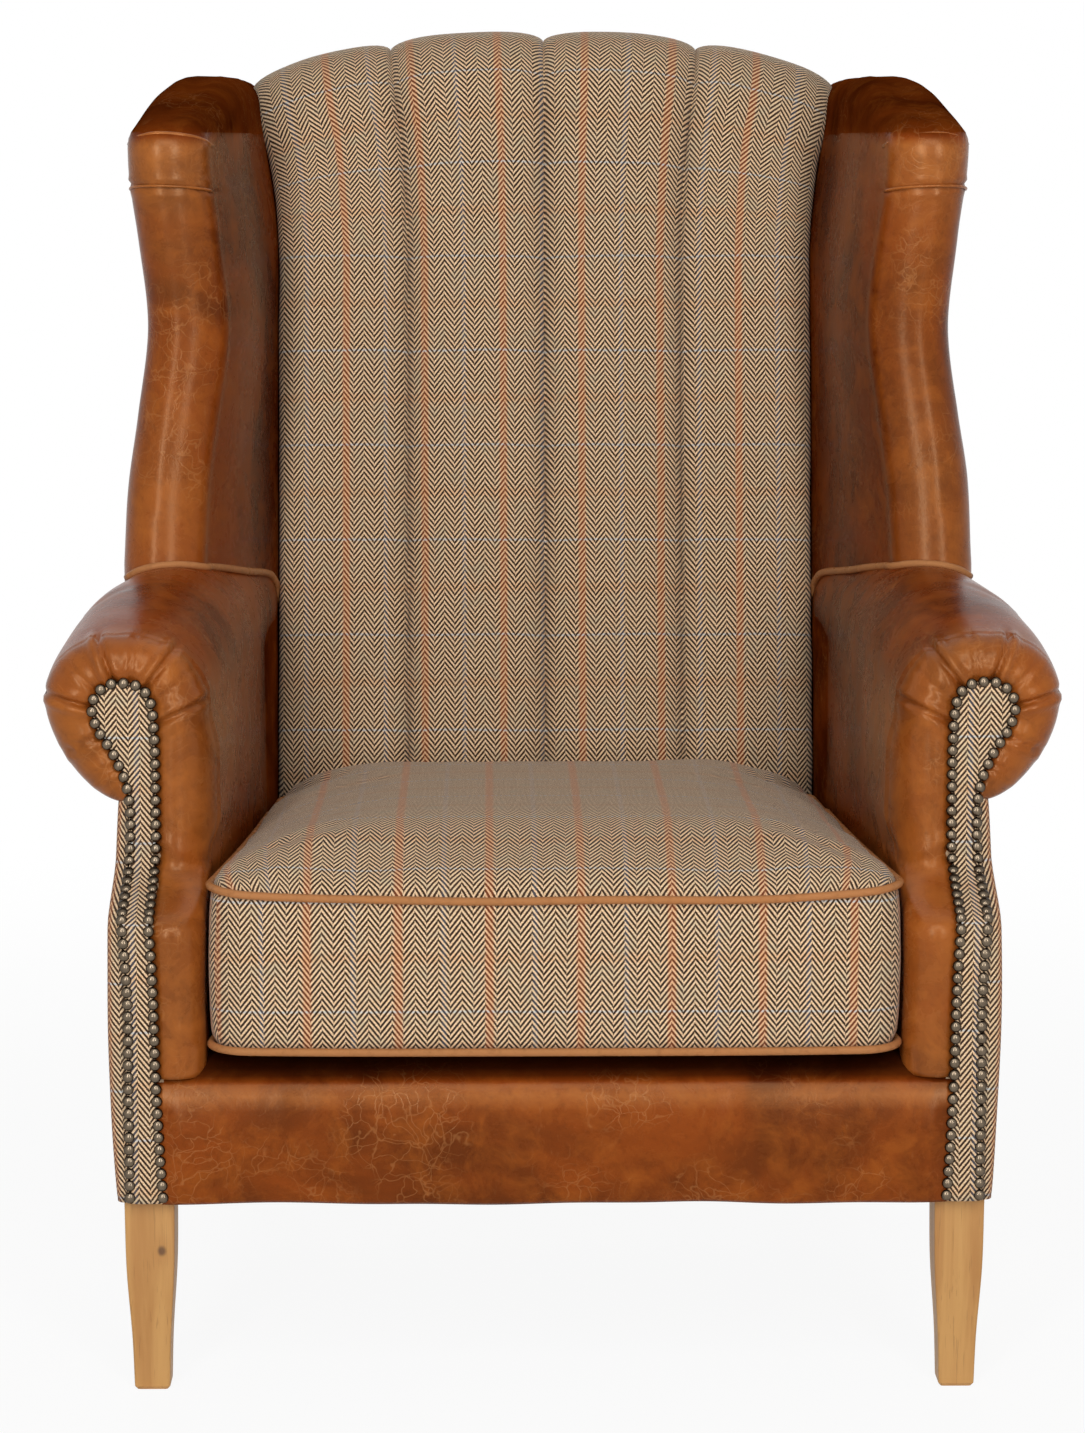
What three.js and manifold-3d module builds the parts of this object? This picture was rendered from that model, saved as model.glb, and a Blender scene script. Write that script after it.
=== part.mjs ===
// A fireside wing armchair: a beech frame on oak legs, leather arms and wings, a fluted tweed
// back and a loose tweed seat cushion. Millimetres. X runs to the viewer's right, the chair
// faces -Y, Z is up from the floor, and the middle of the footprint box is the origin.
import * as THREE from "three";
import { mergeVertices } from "three/addons/utils/BufferGeometryUtils.js";
import Module from "manifold-3d";

const wasm = await Module();
wasm.setup();

// Clearances
const gap = 0.3; // between pieces that touch
const padGap = 1.2; // between a cover and the pad inside it
const overrun = 4; // how far a cutting shape runs past what it cuts
const weld = 1e-3; // vertices closer than this are one

// Heights, each measured from the one that carries it
const legHeight = 161;
const railHeight = 95;
const borderRoll = 21; // leather border above the front rail
const deckThickness = 25; // springs and seat deck above the rails
const cushionRise = 169; // seat deck to the middle of the cushion's crown
const armRise = 456; // leg tops to the top of the arm at its front
const armClimb = 31; // what the arm gains on its way to the wing
const scrollDrop = 135; // arm top down to the tuck under its scroll
const wingRise = 384; // arm top at the wing to the wing's front corner
const wingClimb = 38; // what the wing gains on its way to the back
const crestRise = 42; // wing top to the middle of the back

// Depths from the front face of the chair
const frontY = -397;
const armSetBack = 65; // upper arm front behind the lower one
const wingSetBack = 330; // front of the wing at its foot
const seatDepth = 520; // front face to the flutes, at the cushion's crown
const backThickness = 192; // flutes to the outside back, at the same height
const insideSlope = 0.2; // lean of the flutes
const outsideSlope = 0.14; // lean of the outside back

// Widths, from half the seat's width outwards
const armInnerFront = 284;
const armTaper = 33; // how much nearer the middle the arms stand at the back
const armThickness = 73; // across an arm at its front
const rearArmThickness = 49;
const scrollReach = 60; // scroll beyond the outside arm
const wingStep = 39; // wing's foot inside the scroll

// Thicknesses
const cover = 3; // leather or tweed with its lining
const wingPad = 9.5;
const postThickness = 26;
const postDepth = 44;
const lowerPostDepth = 62; // front post below the ledge
const backPostWidth = 34;
const facingPlate = 2.9;

const outsideDepth = seatDepth + backThickness;
const armInnerRear = armInnerFront - armTaper;
const sideFront = armInnerFront + armThickness;
const sideRear = armInnerRear + rearArmThickness;
const scrollFront = sideFront + scrollReach;
const wingFoot = scrollFront - wingStep;
const legTop = legHeight - gap;
const railTop = legHeight + railHeight;
const borderTop = railTop + borderRoll;
const deckTop = railTop + deckThickness;
const armBase = railTop + gap;
const crownZ = deckTop + cushionRise;
const armTop = legHeight + armRise;
const wingBaseZ = armTop + armClimb;
const wingCornerZ = wingBaseZ + wingRise;
const wingTopZ = wingCornerZ + wingClimb;
const crestZ = wingTopZ + crestRise;

const material = (color, roughness, metalness = 0) =>
  new THREE.MeshStandardMaterial({ color, roughness, metalness });
const leather = material(0x9a5520, 0.42);
const tweed = material(0x98866b, 0.95);
const oak = material(0xd0a468, 0.55);
const beech = material(0xc9a77c, 0.7);
const foam = material(0xe6dfc4, 0.9);
const steel = material(0x8b8d90, 0.4, 1);
const brass = material(0x8a7448, 0.35, 1);
const jute = material(0xa98d5f, 0.9);
const lining = material(0x2a2826, 0.95);

const { lerp, smoothstep, clamp } = THREE.MathUtils;
const v3 = (x, y, z) => new THREE.Vector3(x, y, z);
const steps = (count) => Array.from({ length: count + 1 }, (_, i) => i / count);

// A table of [place, value] rows read as one smooth line.
function along(table, place) {
  const rows = table.length - 1;
  let i = 0;
  while (i < rows - 1 && place > table[i + 1][0]) i++;
  const [from, to] = [table[i], table[i + 1]];
  const share = clamp((place - from[0]) / (to[0] - from[0]), 0, 1);
  return lerp(from[1], to[1], smoothstep(share, 0, 1));
}

// A closed solid through rings of points that all have the same count.
function loft(rings, loop = false) {
  const count = rings[0].length;
  const points = rings.flat();
  const faces = [];
  const spans = loop ? rings.length : rings.length - 1;
  for (let i = 0; i < spans; i++) {
    const next = (i + 1) % rings.length;
    for (let j = 0; j < count; j++) {
      const k = (j + 1) % count;
      const [a, b] = [i * count + j, i * count + k];
      const [c, d] = [next * count + j, next * count + k];
      faces.push(a, b, d, a, d, c);
    }
  }
  if (!loop) {
    for (const f of capFaces(rings[0])) faces.push(f[0], f[2], f[1]);
    const base = (rings.length - 1) * count;
    for (const f of capFaces(rings[rings.length - 1])) faces.push(base + f[0], base + f[1], base + f[2]);
  }
  return facingOut(points, faces);
}

// Triangles that close a ring, turned the way the ring runs.
function capFaces(ring) {
  const normal = v3(0, 0, 0);
  ring.forEach((p, i) => normal.add(p.clone().cross(ring[(i + 1) % ring.length])));
  const sizes = [Math.abs(normal.x), Math.abs(normal.y), Math.abs(normal.z)];
  const drop = sizes.indexOf(Math.max(...sizes));
  const flat = ring.map((p) => {
    const kept = p.toArray().filter((_, axis) => axis !== drop);
    return new THREE.Vector2(kept[0], kept[1]);
  });
  const turn = Math.sign(THREE.ShapeUtils.area(flat));
  return THREE.ShapeUtils.triangulateShape(flat, []).map((f) => {
    const same = Math.sign(THREE.ShapeUtils.area(f.map((i) => flat[i]))) === turn;
    return same ? f : [f[0], f[2], f[1]];
  });
}

function facingOut(points, faces) {
  let volume = 0;
  for (let i = 0; i < faces.length; i += 3) {
    const [a, b, c] = [points[faces[i]], points[faces[i + 1]], points[faces[i + 2]]];
    volume += a.dot(b.clone().cross(c));
  }
  if (volume < 0) faces.reverse();
  return new THREE.BufferGeometry().setFromPoints(points).setIndex(faces);
}

function solid(geometry) {
  const bare = geometry.clone();
  bare.deleteAttribute("normal");
  bare.deleteAttribute("uv");
  const merged = mergeVertices(bare, weld);
  const mesh = new wasm.Mesh({
    numProp: 3,
    vertProperties: merged.attributes.position.array,
    triVerts: new Uint32Array(merged.index.array),
  });
  return new wasm.Manifold(mesh);
}

function geometryOf(made) {
  const mesh = made.getMesh();
  return new THREE.BufferGeometry()
    .setAttribute("position", new THREE.BufferAttribute(mesh.vertProperties, 3))
    .setIndex(new THREE.BufferAttribute(mesh.triVerts, 1));
}

const middleOf = (a, b) => (a + b) / 2;

// A block between two corners, grown on every side by what a neighbour keeps clear.
function block(low, high, grow = 0) {
  const size = high.map((h, i) => h - low[i] + 2 * grow);
  const box = new THREE.BoxGeometry(...size);
  return box.translate(...high.map((h, i) => (h + low[i]) / 2));
}

const chair = new THREE.Group();
function place(name, geometry, finish) {
  const mesh = new THREE.Mesh(geometry, finish);
  mesh.name = name;
  chair.add(mesh);
  return mesh;
}

// The same piece on the viewer's right and, mirrored, on the left.
function pair(name, geometry, finish) {
  place(name + "_right", geometry, finish);
  place(name + "_left", geometry, finish).scale.x = -1;
}

// The outside back leans back in one plane, and everything behind the sitter follows it.
const outsideY = (z) => frontY + outsideDepth + (z - crownZ) * outsideSlope;
const rearWall = 4; // outside back panel and its tack strip
const coverRearY = (z) => outsideY(z) - rearWall;
const postRearY = (z) => coverRearY(z) - cover - gap;
const postFrontY = (z) => postRearY(z) - postDepth;

// Front post and knee: the lower arm front stands ahead of the upper one, over a sloping ledge
const ledgeLowRise = 116; // border top to the foot of the ledge
const ledgeHeight = 37;
const ledgeLowZ = borderTop + ledgeLowRise;
const ledgeTopZ = ledgeLowZ + ledgeHeight;
const facingLowY = frontY + cover;
const facingHighY = frontY + armSetBack;
const ledgeAngle = Math.atan2(ledgeHeight, facingHighY - facingLowY);
const ledgeTurn = 1 / Math.cos(ledgeAngle) - Math.tan(ledgeAngle); // how a bend shifts per thickness
const kneeY = facingLowY + facingPlate + gap;
const armFrontY = facingHighY + facingPlate + gap;
const postSet = 34; // padding between the cushion's side of the arm and its front post
const railSet = 8;
const postInner = armInnerFront + postSet;
const postOuter = postInner + postThickness;
const railInnerRear = armInnerRear + railSet;
const railOuterRear = railInnerRear + backPostWidth;

// Arm: one section runs from the front to the outside back and shrinks as it goes
const shoulderWidth = 64;
const shoulderHeight = 62;
const scrollHeight = 54; // arm top down to the widest point of its scroll
const sideBulge = 6;
const scrollTaper = 1.475;
const armSquareness = 2.3;
const underSquareness = 1.65;
const wingShare = (wingSetBack - armSetBack) / (outsideDepth - armSetBack);
const backShare = (seatDepth - armSetBack) / (outsideDepth - armSetBack);

function armSizes(share) {
  const climbed = 1 - (1 - Math.min(1, share / wingShare)) ** 2;
  return {
    inner: lerp(armInnerFront, armInnerRear, Math.min(1, share / backShare)),
    outer: lerp(scrollFront, sideRear + gap, share ** scrollTaper),
    side: lerp(sideFront, sideRear, share),
    top: armTop + armClimb * climbed,
  };
}

// Quarter of a squared-off ellipse, from its end on the width to its end on the height.
function quarter(centre, width, height, squareness, count) {
  return steps(count).map((t) => {
    const angle = (t * Math.PI) / 2;
    const reach = Math.cos(angle) ** (2 / squareness);
    const lift = Math.sin(angle) ** (2 / squareness);
    return [centre[0] + width * reach, centre[1] + height * lift];
  });
}

// The arm's outline at one station, inset towards its middle; its foot stays open when deep.
function armOutline(share, wanted, deep, fine) {
  const at = armSizes(share);
  const inset = Math.min(wanted, (at.side - at.inner) / 2 - 3.5 * cover);
  const widest = at.top - scrollHeight;
  const width = Math.min(shoulderWidth, (at.outer - at.inner) / 2);
  const shoulder = [at.inner + width, at.top - shoulderHeight];
  const crown = [shoulder[0], widest];
  const under = [at.side - inset, widest];
  const foot = deep ? legHeight - overrun : legHeight;
  const base = deep ? armBase - overrun : armBase;
  const inside = lerp(postOuter, railOuterRear, share) + gap + (deep ? inset : 0);
  const tuck = at.top - scrollDrop + inset;
  const innerArc = quarter(shoulder, inset - width, shoulderHeight - inset, 2, fine);
  const outerArc = quarter(crown, at.outer - inset - crown[0], scrollHeight - inset, armSquareness, fine);
  const underArc = quarter(under, at.outer - at.side, tuck - widest, underSquareness, fine - 1);
  const middle = middleOf(legHeight, tuck);
  return [
    [at.inner + inset, base],
    ...innerArc,
    ...outerArc.reverse().slice(1),
    ...underArc.slice(1),
    [at.side + sideBulge - inset, middle],
    [at.side - inset, foot],
    [inside - (deep ? 2 * inset : 0), foot],
    [inside - (deep ? 2 * inset : 0), base],
  ];
}

const frontRound = 18; // rounding of the arm's front edge
const frontRoundShares = [[0, 0.6], [0.3, 0.2], [1, 0]]; // of it, backwards and inwards
const armStations = [0.12, wingShare / 1.6, wingShare, backShare, 0.86, 1];
function armForm(inset, deep = inset > 0) {
  const start = armFrontY + inset;
  const fine = inset > cover ? 3 : 5;
  const ring = (share, y, extra) =>
    armOutline(share, inset + extra, deep, fine).map(([x, z]) => v3(x, y(z), z));
  const front = frontRoundShares.map(([back, inwards]) => {
    return ring(0, () => start + frontRound * back, frontRound * inwards);
  });
  const reach = (share) => (z) => {
    const end = coverRearY(z) - inset;
    return lerp(armFrontY + frontRound, end, share);
  };
  return loft([...front, ...armStations.map((share) => ring(share, reach(share), 0))]);
}

// Knee: the lower arm front, rounded where it faces the cushion
const kneeRound = 18;
const kneeCornerShare = 0.3;
function kneeForm(inset, inner, foot) {
  const back = armFrontY + frontRound * 2;
  const low = inner ? armInnerFront + inset : postInner - (inset ? overrun : 0);
  const round = Math.max(kneeRound - inset, overrun);
  const outline = (y) => {
    const corner = [[low, y + round], [low + round * kneeCornerShare, y + round * kneeCornerShare], [low + round, y]];
    return [
      [low, back],
      ...(inner ? corner : [[low, y]]),
      [sideFront - inset - sideBulge, y],
      [sideFront - inset, y + sideBulge],
      [sideFront - inset, back],
    ];
  };
  const level = (y, z) => outline(y + inset).map(([px, py]) => v3(px, py, z));
  const drop = inset ? overrun : 0;
  const fall = ledgeTurn * (facingPlate + gap + inset);
  return loft([level(kneeY, foot - drop), level(kneeY, ledgeLowZ - fall), level(armFrontY, ledgeTopZ - fall)]);
}

function armSolid(inset) {
  return solid(armForm(inset))
    .add(solid(kneeForm(inset, true, borderTop + gap)))
    .add(solid(kneeForm(inset, false, legHeight)));
}

// Side panels are cut out of the same skins, so each lies flush in its opening.
function armPanelForm(grow) {
  const stations = [0, ...armStations];
  const rings = stations.map((share, i) => {
    const at = armSizes(share);
    const low = legHeight - overrun - grow;
    const high = at.top - scrollDrop - panelTurn + grow;
    const inner = at.side - panelDepth - grow;
    const outer = at.side + panelDepth + overrun;
    const corners = [[inner, low], [outer, low], [outer, high], [inner, high]];
    return corners.map(([x, z]) => {
      if (i === 0) return v3(x, kneeY - overrun, z);
      return v3(x, lerp(armFrontY, outsideY(z) + overrun, share), z);
    });
  });
  return loft(rings);
}

// Wing: level sections from the arm up, rounded at the front and over the top
const wingRoll = 48;
const wingTopRound = 18;
const wingWaist = 29; // how far the outer edge draws in below the ear
const wingEar = 14; // and how much it comes back out at the ear
const wingLeanBack = 26; // the front edge's set-back at the waist
const wingTopRun = 230; // from the front corner back to where the top levels out
const seamGap = 0.6;
const fluteClear = 1;
const fluteHalf = armInnerRear - fluteClear;
const fluteFan = 23; // how much wider the back is at its top
const fanHeight = 212; // crest down to where the flutes begin to fan out
const fanStart = crestZ - fanHeight;
const wingOuterShares = [[0, 1], [0.32, 0.45], [0.55, 0], [0.78, 0.1], [1, 0]];
const wingTopShares = [[0.7, 0.25], [1, 0.7]]; // of the top's rounding, upwards and inwards
const wingSetShares = [[0, 0], [0.28, 0.6], [0.55, 1], [0.8, 0.6], [1, 0.2]];

const rearFan = 24; // how much the outside back widens above the arms
const rearHalf = (z) => sideRear + rearFan * smoothstep(z, wingBaseZ, wingTopZ);
const fanAt = (z) => smoothstep(z, fanStart, crestZ);
const fluteEdge = (z) => fluteHalf + fluteFan * fanAt(z);
const insideY = (z) => frontY + seatDepth + Math.max(0, z - crownZ) * insideSlope;

function wingSizes(z) {
  const share = clamp((z - wingBaseZ) / (wingCornerZ - wingBaseZ), 0, 1);
  const waisted = wingWaist * (1 - along(wingOuterShares, share));
  const ear = wingEar * smoothstep(share, 0.6, 0.95);
  return {
    outer: wingFoot - waisted + ear,
    front: frontY + wingSetBack + wingLeanBack * along(wingSetShares, share),
  };
}

function wingTopAt(y) {
  const share = (y - frontY - wingSetBack) / wingTopRun;
  return wingCornerZ + wingClimb * smoothstep(share, 0, 1);
}

function wingOutline(z, inset, extra) {
  const at = wingSizes(z);
  const radius = wingRoll / 2;
  const trim = inset + Math.min(extra, Math.max(0, radius - 2 * cover - inset) * 0.6);
  const rear = coverRearY(z) - trim;
  const centre = [at.outer - radius, at.front + radius];
  const innerRear = fluteEdge(z) + seamGap + trim;
  const meet = insideY(z) + radius;
  const roll = steps(6).map((t) => {
    const angle = Math.PI * (1 + t);
    return [centre[0] + (radius - trim) * Math.cos(angle), centre[1] + (radius - trim) * Math.sin(angle)];
  });
  const outerRear = rearHalf(z) - trim;
  const half = [middleOf(roll[6][0], outerRear), middleOf(roll[6][1], rear)];
  const quarterIn = [middleOf(innerRear, roll[0][0]), middleOf(meet, roll[0][1])];
  return [[innerRear, rear], [innerRear, meet], quarterIn, ...roll, half, [outerRear, rear]];
}

const boardThickness = 20;
const boardDrop = 58; // arm top down to the top of its board
const boardTopAt = (share) => armSizes(share).top - boardDrop;
const wingFootZ = wingBaseZ - boardDrop + gap;
const wingLevels = [0, 0.22, 0.45, 0.62, 0.8, 1];
function wingForm(inset) {
  const foot = wingFootZ - (inset ? overrun : 0);
  const ring = (share, below, extra) => {
    const heightAt = (y) => lerp(foot, wingTopAt(y) - inset - wingTopRound, share) + below;
    const guess = lerp(foot, wingTopZ - wingTopRound, share) + below;
    return wingOutline(guess, inset, extra).map((first, i) => {
      const better = wingOutline(heightAt(first[1]), inset, extra)[i];
      const [x, y] = wingOutline(heightAt(better[1]), inset, extra)[i];
      return v3(x, y, heightAt(y));
    });
  };
  const rings = wingLevels.map((share) => ring(share, 0, 0));
  for (const [up, inwards] of wingTopShares) rings.push(ring(1, wingTopRound * up, wingTopRound * inwards));
  return loft(rings);
}

const panelDepth = 6;
const panelTurn = 2; // the panel stops this far under the scroll
const wingPanelSet = 46; // leather returns this far round the outside of the wing
function wingPanelForm(grow) {
  const rings = [-0.1, ...wingLevels.slice(1, -1), 0.95].map((share) => {
    const guess = lerp(wingFootZ, wingTopZ, share);
    const at = wingSizes(guess);
    const start = at.front + wingPanelSet - grow;
    const radius = wingRoll / 2;
    const rear = coverRearY(guess);
    const run = rear - at.front - radius;
    const outerAt = (y) => lerp(at.outer, rearHalf(guess), (y - at.front - radius) / run);
    const ends = [start, rear + overrun];
    const inner = ends.map((y) => [outerAt(y) - panelDepth - grow, y]);
    const outer = ends.map((y) => [outerAt(y) + panelDepth, y]).reverse();
    return [...inner, ...outer].map(([x, y]) => {
      const top = wingTopAt(y) - wingTopRound;
      return v3(x, y, lerp(wingFootZ, top, share) + (share > 0.9 ? grow : 0));
    });
  });
  return loft(rings);
}

// Frame under the seat
const borderReach = 62; // how far the leather border runs back over the rail
const railThickness = 26;
const railInset = 12; // border padding in front of the front rail
const backRailY = coverRearY(legHeight) - gap;
const blockLeg = 55;
const blockHeight = 40;

const postTop = armTop - boardDrop - boardThickness - gap;
function frontPost(grow) {
  const low = kneeY + cover + gap;
  const high = armFrontY + cover + gap;
  const fall = ledgeTurn * (facingPlate + cover + 2 * gap - grow);
  const profile = [
    [low - grow, legHeight - grow],
    [low - grow, ledgeLowZ - fall],
    [high - grow, ledgeTopZ - fall],
    [high - grow, postTop + grow],
    [high + postDepth + grow, postTop + grow],
    [high + postDepth + grow, ledgeTopZ],
    [low + lowerPostDepth + grow, ledgeLowZ],
    [low + lowerPostDepth + grow, legHeight - grow],
  ];
  const side = (x) => profile.map(([y, z]) => v3(x, y, z));
  return loft([side(postInner - grow), side(postOuter + grow)]);
}

const postHead = 45;
function backPost(grow) {
  const level = (z) => {
    const spread = fluteFan * fanAt(z);
    const [low, high] = [railInnerRear + spread - grow, railOuterRear + spread + grow];
    const [near, far] = [postFrontY(z) - grow, postRearY(z) + grow * 0.5];
    return [v3(low, near, z), v3(high, near, z), v3(high, far, z), v3(low, far, z)];
  };
  const top = wingTopZ - postHead;
  const fan = [0, 0.25, 0.5, 0.75].map((share) => level(lerp(fanStart, top, share)));
  return loft([level(legHeight - grow), ...fan, level(top + grow)]);
}

// The arm board runs from the front post to the back post and carries the wing's foot.
const boardInset = 26;
function armBoard(grow) {
  const ring = (share, y) => {
    const at = armSizes(share);
    const top = boardTopAt(share) + grow;
    const low = boardTopAt(share) - boardThickness - grow;
    const inner = Math.min(at.inner + boardInset, railInnerRear + lerp(postInner - railInnerRear, 0, share));
    const outer = Math.min(at.outer - boardInset, Math.max(at.side, railOuterRear + lerp(boardInset, 0, share)));
    return [[inner - grow, low], [outer + grow, low], [outer + grow, top], [inner - grow, top]].map(
      ([x, z]) => v3(x, y(z), z),
    );
  };
  const start = armFrontY + cover + gap + railThickness;
  const end = (z) => postFrontY(z) - gap + grow;
  const stations = [0.12, 0.25, wingShare, 1];
  const rings = stations.map((share) => ring(share, (z) => lerp(start, end(z), share)));
  return loft([ring(0, () => start - grow), ...rings]);
}

function railShape(corners, low, high) {
  return loft([low, high].map((z) => corners.map(([x, y]) => v3(x, y, z))));
}
const frontRailY = frontY + railInset;
const sideRailFrontY = kneeY + cover + gap + lowerPostDepth + gap;
const sideRailRearY = postFrontY(legHeight) - gap;
const railShareAt = (y) => (y - sideRailFrontY) / (sideRailRearY - sideRailFrontY);

function crossRail(half, y) {
  return block([-half, y, legHeight], [half, y + railThickness, railTop]);
}
place("front_seat_rail", crossRail(postInner - gap, frontRailY), beech);
place("back_seat_rail", crossRail(railInnerRear - gap, backRailY - railThickness), beech);
pair("seat_rail", railShape([
  [postInner, sideRailFrontY], [postOuter, sideRailFrontY],
  [railOuterRear, sideRailRearY], [railInnerRear, sideRailRearY],
], legHeight, railTop), beech);
pair("front_post", frontPost(0), beech);
pair("back_post", backPost(0), beech);
pair("arm_board", armBoard(0), beech);

// Triangular blocks brace the four corners of the seat frame
function cornerBlock(corner, run, across) {
  const [x, y] = corner;
  const corners = [[x, y], [x + run, y], [x, y + across]];
  return railShape(corners, railTop - blockHeight - borderRoll, railTop - borderRoll);
}
const railInnerAt = (y) => lerp(postInner, railInnerRear, clamp(railShareAt(y), 0, 1));
const frontCornerY = frontRailY + railThickness + gap;
const rearCornerY = backRailY - railThickness - gap;
const frontCornerX = railInnerAt(frontCornerY + blockLeg) - gap;
pair("front_corner_block", cornerBlock([frontCornerX, frontCornerY], -blockLeg, blockLeg), beech);
pair("rear_corner_block", cornerBlock([railInnerRear - gap, rearCornerY], -blockLeg, -blockLeg), beech);

// Legs: square oak, straight at the top, tapering to a chamfered foot
const legTopWidth = 41;
const legFootWidth = 29;
const legChamfer = 3;
const chamferShare = 0.7; // how far the foot is trimmed inwards, of its chamfer's height
const legSet = 9; // leg face behind the facing
const rearLegRake = 60;
const rakePower = 1.4;
const legProfileShares = [[0, 1], [0.35, 0.86], [0.75, 0.2], [1, 0]];
function leg(x, y, rake) {
  const ring = (z, trim) => {
    const share = 1 - z / legTop;
    const half = lerp(legFootWidth, legTopWidth, along(legProfileShares, share)) / 2 - trim;
    const back = y + rake * share ** rakePower;
    return [[-half, -half], [half, -half], [half, half], [-half, half]].map(([i, j]) => v3(x + i, back + j, z));
  };
  const levels = [1, 0.8, 0.6, 0.4, 0.2].map((share) => ring(legTop * share, 0));
  return loft([...levels, ring(legChamfer, 0), ring(0, legChamfer * chamferShare)]);
}
const legCentreX = (postInner + postOuter) / 2;
const frontLegY = facingLowY + legSet + legTopWidth / 2;
const rearLegX = (railInnerRear + railOuterRear) / 2;
const rearLegY = postRearY(legHeight) - legTopWidth / 2;
pair("front_leg", leg(legCentreX, frontLegY, 0), oak);
pair("rear_leg", leg(rearLegX, rearLegY, rearLegRake), oak);

// Back frame: a shaped top rail and a straight lumbar rail between the back posts
const topRailHeight = 75;
const topRailDrop = 82; // crest down to the top rail
const lumbarRise = 50;
const lumbarHeight = 60;
const backRailThickness = 34;
const crestPower = 2.5;
const crestDrop = (x) => crestRise * Math.abs(x / (fluteHalf + fluteFan)) ** crestPower;
const rollRearY = (z) => coverRearY(z) - gap;
const fluteCloth = 10; // tweed with the wadding sewn to it
function topRail(grow) {
  const half = railInnerRear - gap;
  const high = crestZ - topRailDrop;
  const low = high - topRailHeight - grow;
  const near = (z) => postFrontY(z) - grow;
  const far = (z) => rollRearY(z) - fluteCloth - gap + grow;
  const rings = steps(8).map((t) => {
    const x = lerp(-half, half, t);
    const top = high - crestDrop(x) + grow;
    return [[near(low), low], [far(low), low], [far(top), top], [near(top), top]].map(([y, z]) => v3(x, y, z));
  });
  return loft(rings);
}
place("top_back_rail", topRail(0), beech);
const lumbarLow = deckTop + lumbarRise;
function lumbarRail(grow) {
  const half = railInnerRear - gap;
  const level = (z) => {
    const [near, far] = [postFrontY(z) - grow, postFrontY(z) + backRailThickness + grow];
    return [v3(-half, near, z), v3(half, near, z), v3(half, far, z), v3(-half, far, z)];
  };
  return loft([level(lumbarLow - grow), level(lumbarLow + lumbarHeight + grow)]);
}
place("lumbar_rail", lumbarRail(0), beech);

// Wing boards stand on the arm boards and butt against the back posts
const wingCore = cover + gap + wingPad;
const postCut = solid(backPost(gap));
const frontPostCut = solid(frontPost(gap));
const boardCut = solid(armBoard(gap));
const wingBoard = solid(wingForm(wingCore)).subtract(postCut).subtract(boardCut);
const behind = -frontY + outsideDepth; // clear of everything at the back
const aboveBoard = solid(block([armInnerRear - overrun, frontY, wingFootZ], [scrollFront, behind, crestZ]));
pair("wing_board", geometryOf(largest(wingBoard.intersect(aboveBoard))), beech);

// Where a cut leaves crumbs, the piece is the largest of what is left.
function largest(made) {
  return made.decompose().sort((a, b) => b.volume() - a.volume())[0];
}

// Arm and wing: cover outside, then a pad, then the boards
const wingBoardCut = solid(wingForm(wingCore - gap)).intersect(aboveBoard);
const armSkin = armSolid(0).subtract(armSolid(cover));
const armPanel = solid(armPanelForm(0));
const railCuts = [solid(topRail(gap)), solid(lumbarRail(gap))];
const cuts = [frontPostCut, postCut, boardCut, wingBoardCut, ...railCuts];
const lessAll = (made, list) => list.reduce((left, cut) => left.subtract(cut), made);
pair("arm_cover", geometryOf(largest(lessAll(armSkin.subtract(solid(armPanelForm(gap))), cuts))), leather);
pair("outside_arm", geometryOf(largest(lessAll(armSkin.intersect(armPanel), cuts))), tweed);
const overBorder = solid(block([0, frontY - overrun, 0], [postInner, frontY + borderReach + gap, borderTop + padGap]));
const armPadding = armSolid(cover + padGap).subtract(overBorder);
const aboveRail = solid(block([0, frontY, armBase], [scrollFront, behind, crestZ]));
pair("arm_padding", geometryOf(largest(lessAll(armPadding.intersect(aboveRail), cuts))), foam);

// Outside back panel: under the roll of the flutes and behind both wings
const rollHeight = 62; // how far the flutes rise while they roll over the top
const rollStart = crestZ - rollHeight;
const channelSegments = 6;
function outsideBack() {
  const levels = [legHeight, wingBaseZ];
  const rings = steps(16).map((t) => {
    const side = lerp(-1, 1, t);
    const top = rollStart - crestDrop(side * rearHalf(rollStart)) - padGap;
    const column = [...levels, top].map((z) => [side * (rearHalf(z) - gap), z]);
    const front = column.map(([x, z]) => v3(x, coverRearY(z) + gap, z));
    const rear = column.map(([x, z]) => v3(x, outsideY(z), z)).reverse();
    return [...front, ...rear];
  });
  return loft(rings);
}
place("outside_back", outsideBack(), tweed);

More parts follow.
